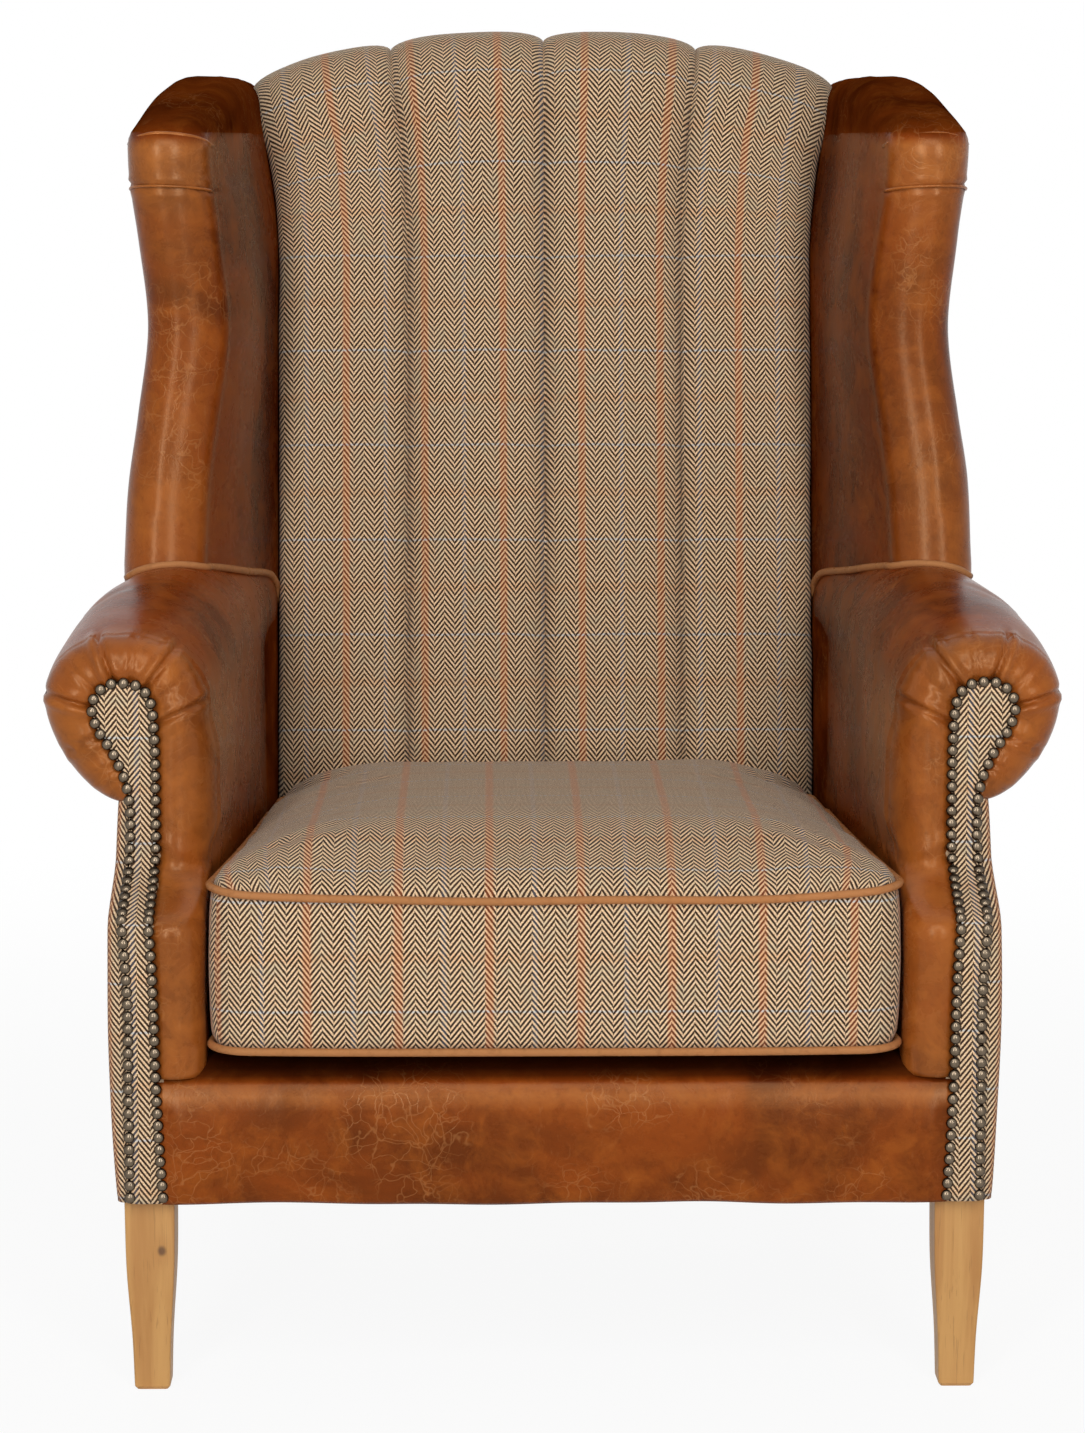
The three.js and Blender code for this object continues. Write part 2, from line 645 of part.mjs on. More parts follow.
// Flutes: four stuffed channels that run up the back, fan out and roll over the top
const fluteDepth = 22;
const seamShare = 0.512; // outer seams, of the back's half width
const seamHalf = fluteHalf * seamShare;
const seamFan = 20;
const topBulgeShare = 0.45;
const rearBulgeShare = 0.3;
const fluteFootZ = deckTop + gap;
const channelEdges = (z) => {
  const seam = seamHalf + seamFan * fanAt(z);
  return [-fluteEdge(z), -seam, 0, seam, fluteEdge(z)];
};
function fluteStations() {
  const valleyY = (z) => insideY(z) + fluteDepth;
  const lean = new THREE.Vector2(-1, insideSlope).normalize();
  const upright = [fluteFootZ, middleOf(fluteFootZ, crownZ)];
  const front = upright.map((z) => ({ z, y: valleyY(z), normal: [-1, 0], bulge: 1 }));
  const rise = steps(6).map((t) => lerp(crownZ, rollStart, t));
  const face = rise.map((z) => ({ z, y: valleyY(z), normal: [lean.x, lean.y], bulge: 1 }));
  const half = (rollRearY(rollStart) - valleyY(rollStart)) / 2;
  const roll = steps(7).slice(1).map((t) => {
    const turn = Math.PI * t;
    const out = new THREE.Vector2(-Math.cos(turn) / half, Math.sin(turn) / rollHeight).normalize();
    const fade = t < 0.5 ? lerp(1, topBulgeShare, t * 2) : lerp(topBulgeShare, rearBulgeShare, t * 2 - 1);
    const y = valleyY(rollStart) + half * (1 - Math.cos(turn));
    const rear = smoothstep(t, 0.5, 1) * fluteDepth * rearBulgeShare;
    return { z: rollStart + rollHeight * Math.sin(turn), y: y - rear, normal: [out.x, out.y], bulge: fade };
  });
  return [...front, ...face, ...roll];
}
function flutedBack(grow) {
  const rings = fluteStations().map((at) => {
    const dropShare = smoothstep(at.z, fanStart, rollStart);
    const edges = channelEdges(at.z - dropShare * crestRise);
    edges[0] -= grow;
    edges[4] += grow;
    const height = (x) => at.z - dropShare * crestDrop(x);
    const point = (x, out) => v3(x, at.y + at.normal[0] * out, height(x) + at.normal[1] * out);
    const front = [];
    for (let c = 0; c < edges.length - 1; c++) {
      for (let i = 0; i < channelSegments; i++) {
        const t = i / channelSegments;
        const arch = Math.sqrt(1 - (2 * t - 1) ** 2);
        front.push(point(lerp(edges[c], edges[c + 1], t), fluteDepth * at.bulge * arch + grow));
      }
    }
    front.push(point(edges[4], grow));
    return [...front, ...edges.map((x) => point(x, -fluteCloth - grow)).reverse()];
  });
  return loft(rings);
}
place("fluted_back", flutedBack(0), tweed);

// Wing pieces stand on the arm and close against the flutes
const armOutside = solid(armForm(-gap, false));
const fluteCut = solid(flutedBack(gap));
const wingCuts = [armOutside, fluteCut, ...railCuts];
const wingSkin = solid(wingForm(0)).subtract(solid(wingForm(cover)));
const wingCover = wingSkin.subtract(solid(wingPanelForm(gap)));
const outsideWing = wingSkin.intersect(solid(wingPanelForm(0)));
const wingPadding = solid(wingForm(cover + padGap)).subtract(wingBoardCut);
pair("wing_cover", geometryOf(largest(lessAll(wingCover, wingCuts))), leather);
pair("outside_wing", geometryOf(largest(lessAll(outsideWing, [armOutside]))), tweed);
pair("wing_padding", geometryOf(largest(lessAll(wingPadding, [postCut, ...wingCuts]))), foam);

// Back pad in front of a webbing lattice that is tacked to the rails
const webThickness = 2;
const webWidth = 48;
const webHalf = armInnerRear - cover;
const padTop = fanStart - overrun;
const webBackY = (z) => postFrontY(z) - gap;
function backPad() {
  const level = (z) => {
    const near = insideY(z) + fluteDepth + fluteCloth + padGap;
    const far = webBackY(z) - webThickness - gap;
    return [v3(-webHalf, near, z), v3(webHalf, near, z), v3(webHalf, far, z), v3(-webHalf, far, z)];
  };
  return loft([level(fluteFootZ), level(crownZ), level(padTop)]);
}
place("back_padding", backPad(), foam);
const webTop = crestZ - topRailDrop - crestRise;
const webStartShare = 0.3; // of the lumbar rail's height
const webLow = lumbarLow + lumbarHeight * webStartShare;
function webbing() {
  const bands = [];
  const size = [webHalf - webWidth, webTop - webLow - webWidth];
  for (const t of steps(3)) {
    const x = lerp(-size[0], size[0], t);
    bands.push(block([x - webWidth / 2, 0, webLow], [x + webWidth / 2, webThickness, webTop]));
    const z = webLow + size[1] * t;
    bands.push(block([-webHalf, 0, z], [webHalf, webThickness, z + webWidth]));
  }
  const joined = bands.map(solid).reduce((all, band) => all.add(band));
  const lattice = geometryOf(joined);
  const spots = lattice.attributes.position;
  for (let i = 0; i < spots.count; i++) {
    spots.setY(i, spots.getY(i) + webBackY(spots.getZ(i)) - webThickness);
  }
  return lattice;
}
place("back_webbing", webbing(), jute);

// Serpentine springs run from rail to rail under the seat deck
const springCount = 5;
const springWire = 4;
const springSwing = 20;
const springBends = 9;
const springLead = 32; // straight wire before the first bend
const bendShares = [0.3, 0.7];
const springSpacing = 96;
const springZ = railTop + gap + springWire / 2;
const springRun = [frontRailY + railInset, backRailY - railInset];
function spring(x) {
  const ends = [springRun[0] + springLead, springRun[1] - springLead];
  const route = [v3(x, springRun[0], springZ)];
  for (let i = 0; i < springBends; i++) {
    const swing = i % 2 ? springSwing : -springSwing;
    const [from, to] = [i, i + 1].map((k) => lerp(ends[0], ends[1], k / springBends));
    for (const share of bendShares) route.push(v3(x + swing, lerp(from, to, share), springZ));
  }
  route.push(v3(x, springRun[1], springZ));
  const radius = springWire / 2;
  const shape = new THREE.Shape(steps(4).slice(1).map((t) => {
    return new THREE.Vector2(radius * Math.cos(2 * Math.PI * t), radius * Math.sin(2 * Math.PI * t));
  }));
  const path = new THREE.CatmullRomCurve3(route, false, "centripetal");
  return new THREE.ExtrudeGeometry(shape, { steps: springBends * 3 + 2, extrudePath: path });
}
for (let i = 0; i < springCount; i++) {
  place(`seat_spring_${i + 1}`, spring((i - (springCount - 1) / 2) * springSpacing), steel);
}

// Seat deck: hessian and felt over the springs, cut to the room between the arms
const deckLow = railTop + springWire + 3 * gap;
const deckRearY = backRailY - cover;
function armInnerAt(y, z) {
  const start = armFrontY + frontRound;
  return armSizes(clamp((y - start) / (coverRearY(z) - start), 0, 1)).inner;
}
function deck() {
  const frontEdge = frontY + borderReach + gap;
  const taperEnd = lerp(armFrontY + frontRound, coverRearY(deckLow), backShare) + overrun;
  const places = [frontEdge, armFrontY + frontRound, taperEnd, deckRearY];
  const outline = places.map((y) => [armInnerAt(y, deckTop) - padGap, y]);
  const whole = [...outline, ...outline.map(([x, y]) => [-x, y]).reverse()];
  return railShape(whole, deckLow, deckTop);
}
place("seat_deck", deck(), lining);

const clothThickness = 1;
const bottomHalf = [legCentreX - legTopWidth / 2 - padGap, rearLegX - legTopWidth / 2 - 2 * overrun];
place("bottom_cloth", railShape([
  [-bottomHalf[0], frontRailY], [bottomHalf[0], frontRailY],
  [bottomHalf[1], backRailY - gap], [-bottomHalf[1], backRailY - gap],
], legHeight - gap - clothThickness, legHeight - gap), lining);

// Facings: tweed strips that run up the front posts, over the ledge and into the scrolls
const facingSet = 8; // edge of the strip on its post
const facingInner = postInner + facingSet;
const facingHead = 51; // width of the strip inside the scroll
const facingDrop = 37; // arm top down to the head of the strip
const facingTop = armTop - facingDrop;
const lowerShares = [
  [0, -0.14, 0.39], [0.22, -0.08, 0.39], [0.44, -0.04, 0.39], [0.7, -0.02, 0.38], [0.84, 0, 0.41], [1, 0.05, 0.47],
];
const upperShares = [
  [0, 0.02, 0.43], [0.13, 0, 0.41], [0.29, 0, 0.4], [0.4, 0, 0.43], [0.5, 0, 0.51], [0.62, 0, 0.67],
  [0.74, 0.01, 0.9], [0.87, 0.04, 1], [0.93, 0.09, 0.94], [0.98, 0.24, 0.82], [1, 0.41, 0.65],
];
const ledge = new THREE.Vector2(ledgeTopZ - ledgeLowZ, facingHighY - facingLowY).normalize();
function facingRows() {
  const edge = (share) => facingInner + share * facingHead;
  const row = (z, y, shares, normal) => ({ z, y, inner: edge(shares[1]), outer: edge(shares[2]), normal });
  const foot = legHeight + gap;
  const lower = lowerShares.map((r) => row(lerp(foot, ledgeLowZ, r[0]), facingLowY, r, [-1, 0]));
  const upper = upperShares.map((r) => row(lerp(ledgeTopZ, facingTop, r[0]), facingHighY, r, [-1, 0]));
  lower[lower.length - 1].normal = upper[0].normal = [-ledge.x, ledge.y];
  return [...lower, ...upper];
}
function facing(grow, widen) {
  return loft(facingRows().map(({ z, y, inner, outer, normal }) => {
    const [back, low] = [y + facingPlate, normal[1] ? z - ledgeTurn * facingPlate : z];
    const [front, high] = [y + normal[0] * grow, z + normal[1] * grow];
    const [left, right] = [inner - widen, outer + widen];
    return [v3(left, front, high), v3(right, front, high), v3(right, back, low), v3(left, back, low)];
  }));
}
pair("arm_facing", facing(0, 0), tweed);

// Nails: domed heads, side by side, up the outer edge of a facing and down the inner one
const nailPitch = 10;
const nailWidth = 9.4;
const nailHeight = 2.7;
const nailNeckShare = 0.3; // the groove between two heads, of a head's size
const nailCrownShare = 0.6; // flat crown of a head, of its width
function nailRow() {
  const rows = facingRows();
  const seat = ({ y, z }, x) => v3(x, y, z);
  const outerSpots = rows.map((r) => [seat(r, r.outer), r.normal]);
  const innerSpots = rows.map((r) => [seat(r, r.inner), r.normal]);
  const spots = [...outerSpots, ...innerSpots.reverse()];
  const lengths = [0];
  for (let i = 1; i < spots.length; i++) lengths.push(lengths[i - 1] + spots[i][0].distanceTo(spots[i - 1][0]));
  const total = lengths[lengths.length - 1] - nailPitch;
  const count = Math.round(total / nailPitch);
  const at = (length) => {
    let i = 1;
    while (i < lengths.length - 1 && lengths[i] < length) i++;
    const share = (length - lengths[i - 1]) / (lengths[i] - lengths[i - 1]);
    const spot = spots[i - 1][0].clone().lerp(spots[i][0], share);
    const [ny, nz] = [0, 1].map((k) => lerp(spots[i - 1][1][k], spots[i][1][k], clamp(share, 0, 1)));
    return { spot, along: spots[i][0].clone().sub(spots[i - 1][0]).normalize(), normal: v3(0, ny, nz).normalize() };
  };
  const rings = [];
  for (let k = 0; k <= 2 * count; k++) {
    const { spot, along: run, normal } = at(nailPitch / 2 + (k * total) / (2 * count));
    const across = run.clone().cross(normal).normalize();
    const size = k % 2 ? 1 : nailNeckShare;
    const half = (nailWidth * size) / 2;
    const corner = (side, up) => {
      return spot.clone().addScaledVector(across, side * half).addScaledVector(normal, up * nailHeight * size);
    };
    rings.push([corner(-1, 0), corner(-nailCrownShare, 1), corner(nailCrownShare, 1), corner(1, 0)]);
  }
  return loft(rings);
}
const nails = solid(nailRow()).subtract(solid(facing(1.5 * gap, nailWidth)));
pair("nail_row", geometryOf(largest(nails)), brass);

// Front border: leather over a padded front rail, rounded on to the seat deck
const borderFaceShares = [0.25, 0.65];
const borderRollShares = [[0.2, 0.6], [0.6, 0.15], [1.2, 0]]; // of its roll, backwards and down
function borderForm() {
  const y = frontY;
  const bottom = legHeight + gap;
  const profile = [
    [y + cover, bottom],
    ...borderFaceShares.map((share) => [y, lerp(bottom, borderTop, share)]),
    ...borderRollShares.map(([back, down]) => [y + borderRoll * back, borderTop - borderRoll * down]),
    [y + borderReach, borderTop],
    [y + borderReach, deckLow],
    [frontRailY + railInset / 2, deckLow],
    [frontRailY + railInset / 2, railTop + gap],
    [frontRailY - gap, railTop + gap],
    [frontRailY - gap, bottom],
  ];
  const nailed = facingInner + lowerShares[0][1] * facingHead - nailWidth / 2 - gap;
  const half = [nailed - 2 * gap, nailed, postInner - gap];
  const ring = (x, back) => profile.map(([py, pz]) => v3(x, Math.max(py, y + back), pz));
  return loft([
    ring(-half[2], cover), ring(-half[1], cover), ring(-half[0], 0),
    ring(half[0], 0), ring(half[1], cover), ring(half[2], cover),
  ]);
}
place("front_border", borderForm(), leather);

// Cords: a round section along a row of points
function cord(points, radius, sides, loop) {
  return loft(points.map((p, i) => {
    const before = points[loop ? (i + points.length - 1) % points.length : Math.max(0, i - 1)];
    const after = points[loop ? (i + 1) % points.length : Math.min(points.length - 1, i + 1)];
    const run = after.clone().sub(before).normalize();
    const flat = v3(run.y, -run.x, 0).normalize();
    const up = flat.clone().cross(run).normalize();
    return steps(sides).slice(1).map((t) => {
      const angle = 2 * Math.PI * t;
      return p.clone().addScaledVector(flat, radius * Math.cos(angle)).addScaledVector(up, radius * Math.sin(angle));
    });
  }), loop);
}

// Piping where the wing stands on the arm: over the arm top and along the wing's inner foot
const pipingRadius = 3.3;
function armTopZ(u, share, lift) {
  const at = armSizes(share);
  const width = Math.min(shoulderWidth, (at.outer - at.inner) / 2);
  const crown = at.inner + width;
  if (u < crown) {
    const part = clamp((crown - u) / (width + lift), 0, 1);
    return at.top - shoulderHeight + (shoulderHeight + lift) * Math.sqrt(1 - part ** 2);
  }
  const part = clamp((u - crown) / (at.outer + lift - crown), 0, 1);
  return at.top - scrollHeight + (scrollHeight + lift) * (1 - part ** armSquareness) ** (1 / armSquareness);
}
function armWingPiping() {
  const lift = pipingRadius + padGap;
  const [meet, ...outline] = wingOutline(wingBaseZ, -lift, 0).slice(1, 10);
  const start = armFrontY + frontRound;
  const end = insideY(wingBaseZ) - lift;
  const inner = steps(9).map((t) => {
    const x = lerp(lerp(meet[0], outline[0][0], (meet[1] - end) / (meet[1] - outline[0][1])), outline[1][0], t);
    return [x, lerp(end, outline[1][1], t)];
  });
  const route = [...inner, ...outline.slice(2)].map(([x, y]) => {
    const share = (y - start) / (coverRearY(wingBaseZ) - start);
    return v3(Math.max(x, armSizes(share).inner - lift), y, armTopZ(x, share, lift));
  });
  return cord(route, pipingRadius, 5, false);
}
const wingCut = solid(wingForm(-gap));
const pipingCord = solid(armWingPiping()).subtract(armOutside).subtract(wingCut);
pair("arm_wing_piping", geometryOf(largest(pipingCord)), leather);

// Seat cushion: boxed, crowned, drawn in between its corners
const cushionSide = 10; // to each arm, with room for the piping
const cushionRear = 12; // to the flutes
const cushionHalfFront = armInnerFront - cushionSide;
const cushionHalfRear = armInnerRear - cushionSide;
const cushionProud = 1; // cushion ahead of the border
const cushionFrontY = frontY - cushionProud;
const cushionRearY = frontY + seatDepth - cushionRear;
const cushionBase = deckTop + gap;
const weltLow = 8;
const weltHigh = 130;
const cornerLift = 9;
const boxingBulge = 4;
const drawnIn = 3;
const cornerRadius = 36;
const footShare = 1.4; // flat of the underside, inside the corner radius
const liftShares = { rear: 0.5, foot: 0.2, low: 0.3, high: 0.7 }; // of the front corners' lift
const boxingShares = [0.35, 0.75];
const sideShares = [0.55, 0.45];
const zipHeight = 10;
const zipEnd = 13; // boxing left beside each end of the zip
const zipHalf = cushionHalfRear - zipEnd;
const zipZ = cushionBase + (weltLow + weltHigh) / 2;

function cushionPlan(inset) {
  const [frontHalf, rearHalfWidth] = [cushionHalfFront, cushionHalfRear];
  const corners = [
    [frontHalf, cushionFrontY, -1], [rearHalfWidth, cushionRearY, 1],
  ];
  const right = [];
  corners.forEach(([x, y, way], k) => {
    const centre = [x - cornerRadius, y - way * cornerRadius];
    for (const t of steps(4)) {
      const angle = ((k ? t : t - 1) * Math.PI) / 2;
      right.push([centre[0] + cornerRadius * Math.cos(angle), centre[1] + cornerRadius * Math.sin(angle)]);
    }
    if (k === 0) {
      const side = [middleOf(frontHalf, rearHalfWidth) - drawnIn / 2, middleOf(cushionFrontY, cushionRearY)];
      const before = [side[0], lerp(cushionFrontY, side[1], sideShares[0])];
      right.push(before, side, [side[0] - drawnIn / 2, lerp(side[1], cushionRearY, sideShares[1])]);
    }
  });
  const middle = [[0, cushionRearY]];
  const left = right.map(([x, y]) => [-x, y]).reverse();
  const ring = [...right, ...middle, ...left, [0, cushionFrontY]];
  const centre = (cushionFrontY + cushionRearY) / 2;
  const depth = (cushionRearY - cushionFrontY) / 2;
  return ring.map(([x, y]) => [x * (1 - inset / cushionHalfRear), centre + (y - centre) * (1 - inset / depth)]);
}
const cornerRise = (x, y) => cornerLift * (Math.abs(x) / cushionHalfFront) ** 4 * (y < 0 ? 1 : liftShares.rear);
const crownShares = [[0.13, 0.42], [0.3, 0.74], [0.55, 0.94], [0.8, 1]];
function cushionForm(inset) {
  const base = cushionBase + inset;
  const level = (z, trim, lifted) =>
    cushionPlan(trim + inset).map(([x, y]) => v3(x, y, z + lifted * cornerRise(x, y)));
  const welt = cushionBase + weltHigh - inset;
  const crown = cushionRise - weltHigh - gap;
  return loft([
    level(base, cornerRadius * footShare, 0),
    level(base, weltLow, 0),
    level(base + weltLow, 0, liftShares.foot),
    level(lerp(base + weltLow, welt, boxingShares[0]), -boxingBulge, liftShares.low),
    level(lerp(base + weltLow, welt, boxingShares[1]), -boxingBulge, liftShares.high),
    level(welt, 0, 1),
    ...crownShares.map(([way, up]) => level(welt + crown * up, cushionHalfRear * way, 1 - up)),
  ]);
}
const zipY = cushionRearY + boxingBulge;
const zipSlot = solid(block(
  [-zipHalf, cushionRearY - cornerRadius / 2, zipZ - zipHeight / 2],
  [zipHalf, zipY + overrun, zipZ + zipHeight / 2],
));
const cushionSkin = solid(cushionForm(0)).subtract(solid(cushionForm(cover)));
place("cushion_cover", geometryOf(cushionSkin.subtract(zipSlot)), tweed);
const cushionCore = solid(cushionForm(cover + padGap)).translate([0, 0, gap - padGap]);
place("cushion_core", geometryOf(cushionCore), foam);

const weltAngle = Math.PI / 6; // the cord sits this far above or below the seam it closes
const weltTight = 0.07; // pressed into the tweed's nap
const weltOut = (pipingRadius + gap) / Math.cos(weltAngle);
function weltCord(height, up) {
  const ring = cushionPlan(-weltOut * Math.cos(weltAngle) + weltTight);
  const points = ring.map(([x, y]) => {
    const rise = cornerRise(x, y) * (up > 0 ? 1 : liftShares.foot);
    return v3(x, y, cushionBase + height + rise + up * weltOut * Math.sin(weltAngle));
  });
  return cord(points, pipingRadius, 5, true);
}
place("cushion_piping_top", weltCord(weltHigh, 1), leather);
place("cushion_piping_bottom", weltCord(weltLow, -1), leather);

const tapeThickness = 2;
place("cushion_zip_tape", block(
  [-zipHalf + gap, zipY - tapeThickness - gap, zipZ - zipHeight / 2 + gap],
  [zipHalf - gap, zipY - gap, zipZ + zipHeight / 2 - gap],
), lining);
const sliderSize = [12, 5, 8];
place("cushion_zip_slider", block(
  [-zipHalf + sliderSize[0], zipY, zipZ - sliderSize[2] / 2],
  [-zipHalf + 2 * sliderSize[0], zipY + sliderSize[1], zipZ + sliderSize[2] / 2],
), brass);

export default chair;
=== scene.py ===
# %% [markdown]
# # A fireside wing chair
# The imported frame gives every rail, post and spring its place. This script dresses that frame:
# leather on the arms and wings, herringbone tweed on the back, sides and cushion, a double row
# of domed nails up each arm front, and oak on the legs.
# %% Load the frame
import math
import bmesh
import bpy
import numpy as np
from mathutils import Matrix, Vector, noise


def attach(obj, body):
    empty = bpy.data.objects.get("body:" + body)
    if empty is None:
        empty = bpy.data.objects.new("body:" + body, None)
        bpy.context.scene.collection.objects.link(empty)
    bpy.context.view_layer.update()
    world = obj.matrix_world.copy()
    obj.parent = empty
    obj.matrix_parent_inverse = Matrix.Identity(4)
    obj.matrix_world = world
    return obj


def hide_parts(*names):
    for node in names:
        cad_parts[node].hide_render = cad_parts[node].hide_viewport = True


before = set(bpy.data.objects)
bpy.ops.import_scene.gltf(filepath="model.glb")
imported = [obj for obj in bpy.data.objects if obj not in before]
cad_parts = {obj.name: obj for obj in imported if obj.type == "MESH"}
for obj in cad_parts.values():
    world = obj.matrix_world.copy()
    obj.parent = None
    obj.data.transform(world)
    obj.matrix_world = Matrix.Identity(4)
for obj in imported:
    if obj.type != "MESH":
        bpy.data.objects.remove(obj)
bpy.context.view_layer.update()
SIDES = {"right": 1, "left": -1}

# %% [markdown]
# The sizes below are in millimetres, as an upholsterer would write them on the pattern, and
# repeat the frame's own. Depths run back from the front of the chair. Every point is turned to
# metres once, where it becomes a vertex.
# %% Sizes of the chair
MM = 0.001
FRONT = -397.0
ARM_SET, WING_SET, BACK_SET, REAR_SET = 65, 330, 520, 712
KNEE_FRONT = FRONT + 6.2
ARM_FRONT = FRONT + ARM_SET + 3.2
FACING_LOW = FRONT + 3
FACING_HIGH = FRONT + ARM_SET
LEG_TOP = 161.0
BORDER_TOP = 277.0
DECK_TOP = 281.0
LEDGE_LOW, LEDGE_TOP = 393.0, 430.0
ARM_TOP, ARM_CLIMB = 617.0, 31.0
ARM_BACK_TOP = ARM_TOP + ARM_CLIMB
WING_CORNER, WING_CLIMB = 1032.0, 44.0
CREST, CREST_RISE = 1112.0, 42.0
FAN_START, ROLL_START = 900.0, 1050.0
CROWN = 450.0


def lerp(a, b, share):
    return a + (b - a) * share


def ease(value, low, high):
    share = min(1.0, max(0.0, (value - low) / (high - low)))
    return share * share * (3 - 2 * share)


def steps(count):
    return [i / count for i in range(count + 1)]


def lengths_along(points, start=0.0):
    """How far one has walked along a chain, at each of its points."""
    lengths = [start]
    for a, b in zip(points, points[1:]):
        lengths.append(lengths[-1] + math.dist(a, b))
    return lengths


def inside_y(z):
    return FRONT + BACK_SET + max(0.0, z - CROWN) * 0.2


def outside_y(z):
    return FRONT + REAR_SET + (z - CROWN) * 0.14


def cover_rear(z):
    return outside_y(z) - 4


# %% [markdown]
# Upholstery is cut as flat panels and pulled over a form, so each cover is built as a row of
# cross-sections bridged into one skin. A small table keeps the cloth coordinates of every
# vertex, so that the weave follows the panel and not the room.
# %% Covers from bridged sections
def chain_of(bm, points, closed):
    verts = [bm.verts.new(Vector(p) * MM) for p in points]
    ends = zip(verts, verts[1:] + verts[:1]) if closed else zip(verts, verts[1:])
    return verts, [bm.edges.new(pair) for pair in ends]


def cover_from(sections, cloth=None, closed=False):
    bm = bmesh.new()
    rows = [chain_of(bm, section, closed) for section in sections]
    lie = {}
    for i, (verts, _) in enumerate(rows):
        for j, vert in enumerate(verts):
            lie[vert] = cloth(i, j) if cloth else (0.0, 0.0)
    for (_, near), (_, far) in zip(rows, rows[1:]):
        bmesh.ops.bridge_loops(bm, edges=near + far)
    layer = bm.loops.layers.uv.new("cloth")
    for face in bm.faces:
        for loop in face.loops:
            loop[layer].uv = lie[loop.vert]
    return bm, [verts for verts, _ in rows]


def turn_outward(bm, middle):
    middle = Vector(middle) * MM
    bmesh.ops.recalc_face_normals(bm, faces=bm.faces)
    bm.normal_update()
    facing = sum(f.normal.dot(f.calc_center_median() - middle) * f.calc_area() for f in bm.faces)
    if facing < 0:
        bmesh.ops.reverse_faces(bm, faces=bm.faces)


def piece(bm, name, finish, stands_for=(), body="chair", side=1, middle=None, thick=0.0, wear_and_painted_light=None):
    if side < 0:
        bmesh.ops.scale(bm, vec=(-1, 1, 1), verts=bm.verts)
        middle = (-middle[0], middle[1], middle[2]) if middle else None
        bmesh.ops.reverse_faces(bm, faces=bm.faces)
    if middle:
        turn_outward(bm, middle)
    for face in bm.faces:
        face.smooth = True
    mesh = bpy.data.meshes.new(name)
    bm.to_mesh(mesh)
    bm.free()
    obj = bpy.data.objects.new(name, mesh)
    bpy.context.scene.collection.objects.link(obj)
    mesh.materials.append(finish)
    # This attribute holds wear; on the leather it also holds painted light, and below zero painted shade.
    if wear_and_painted_light:
        marks = mesh.attributes.new("wear_and_painted_light", "FLOAT", "POINT")
        marks.data.foreach_set("value", [wear_and_painted_light(v.co / MM) for v in mesh.vertices])
    if thick:
        wall = obj.modifiers.new("thickness", "SOLIDIFY")
        wall.thickness = thick * MM
        wall.offset = -1
    if stands_for:
        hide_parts(*stands_for)
    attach(obj, body)
    print(f"{name}: {len(mesh.polygons)} faces")
    return obj


# %% [markdown]
# A cord is a circle carried along a seam. Each ring of it is made with the circle operator,
# turned to the run of the seam, and bridged to the ring before it.
# %% Cords
def cord_mesh(points, radius, closed, sides=10):
    bm = bmesh.new()
    rings = []
    count = len(points)
    for i, point in enumerate(points):
        before = points[i - 1] if closed or i else point
        after = points[(i + 1) % count] if closed or i < count - 1 else point
        run = (after - before).normalized()
        made = bmesh.ops.create_circle(bm, segments=sides, radius=radius * MM)["verts"]
        side = run.cross(Vector((0, 0, 1))).normalized()
        up = side.cross(run)
        turn = Matrix((side, up, run)).transposed().to_4x4()
        bmesh.ops.transform(bm, matrix=Matrix.Translation(point * MM) @ turn, verts=made)
        rings.append(list({e for v in made for e in v.link_edges}))
    pairs = list(zip(rings, rings[1:])) + ([(rings[-1], rings[0])] if closed else [])
    for near, far in pairs:
        bmesh.ops.bridge_loops(bm, edges=near + far)
    if not closed:
        bmesh.ops.holes_fill(bm, edges=[e for e in bm.edges if e.is_boundary])
    bmesh.ops.recalc_face_normals(bm, faces=bm.faces)
    return bm

# %% [markdown]
# Stuffed leather is never dead flat. Two small moves give it life: a slow ripple of a millimetre
# or so, and pulled creases, each a narrow valley with a low ridge beside it.
# %% Ripples and pulled creases
def ripple(bm, amount, scale, seed=0.0):
    bm.normal_update()
    shift = Vector((seed, seed * 0.7, -seed))
    moves = [v.normal * noise.noise(v.co * scale + shift) * amount * MM for v in bm.verts]
    for vert, move in zip(bm.verts, moves):
        vert.co += move


def crease(bm, start, end, depth, width):
    """A crease on the straight line between two points, deepest at its start."""
    bm.normal_update()
    a, b = Vector(start) * MM, Vector(end) * MM
    run = b - a
    for vert in bm.verts:
        share = (vert.co - a).dot(run) / run.length_squared
        if not -0.3 < share < 1.15:
            continue
        near = vert.co - (a + run * min(1, max(0, share)))
        across = near.cross(run).normalized().dot(vert.normal) if near.length > 1e-9 else 0
        d = near.length / (width * MM)
        fade = 1 - ease(share, 0.5, 1.1)
        valley = -math.exp(-d * d)
        ridge = 0.55 * math.exp(-(d - 2.2) ** 2) * (1 if across > 0 else 0.4)
        vert.co += vert.normal * (valley + ridge) * depth * fade * MM


# %% [markdown]
# Materials are built from nodes only. Three short helpers keep them readable: one makes a node
# and wires its inputs, one does arithmetic, and one mixes two colours.
# %% Node helpers
def new_finish(name, roughness, **constants):
    made = bpy.data.materials.new(name)
    made.use_nodes = True
    tree = made.node_tree
    surface = tree.nodes["Principled BSDF"]
    surface.inputs["Roughness"].default_value = roughness
    for label, value in constants.items():
        surface.inputs[label.replace("_", " ")].default_value = value
    return made, tree, surface


def add(tree, kind, sockets=None, **settings):
    made = tree.nodes.new("ShaderNode" + kind)
    for label, value in settings.items():
        setattr(made, label, value)
    for key, value in (sockets or {}).items():
        if isinstance(value, bpy.types.NodeSocket):
            tree.links.new(value, made.inputs[key])
        else:
            made.inputs[key].default_value = value
    return made


def calc(tree, operation, *values, clamp=False):
    return add(tree, "Math", dict(enumerate(values)), operation=operation, use_clamp=clamp).outputs[0]


def mix(tree, share, a, b, mode="MIX"):
    made = add(tree, "Mix", {0: share, 6: a, 7: b}, data_type="RGBA", blend_type=mode, clamp_factor=True)
    return made.outputs[2]


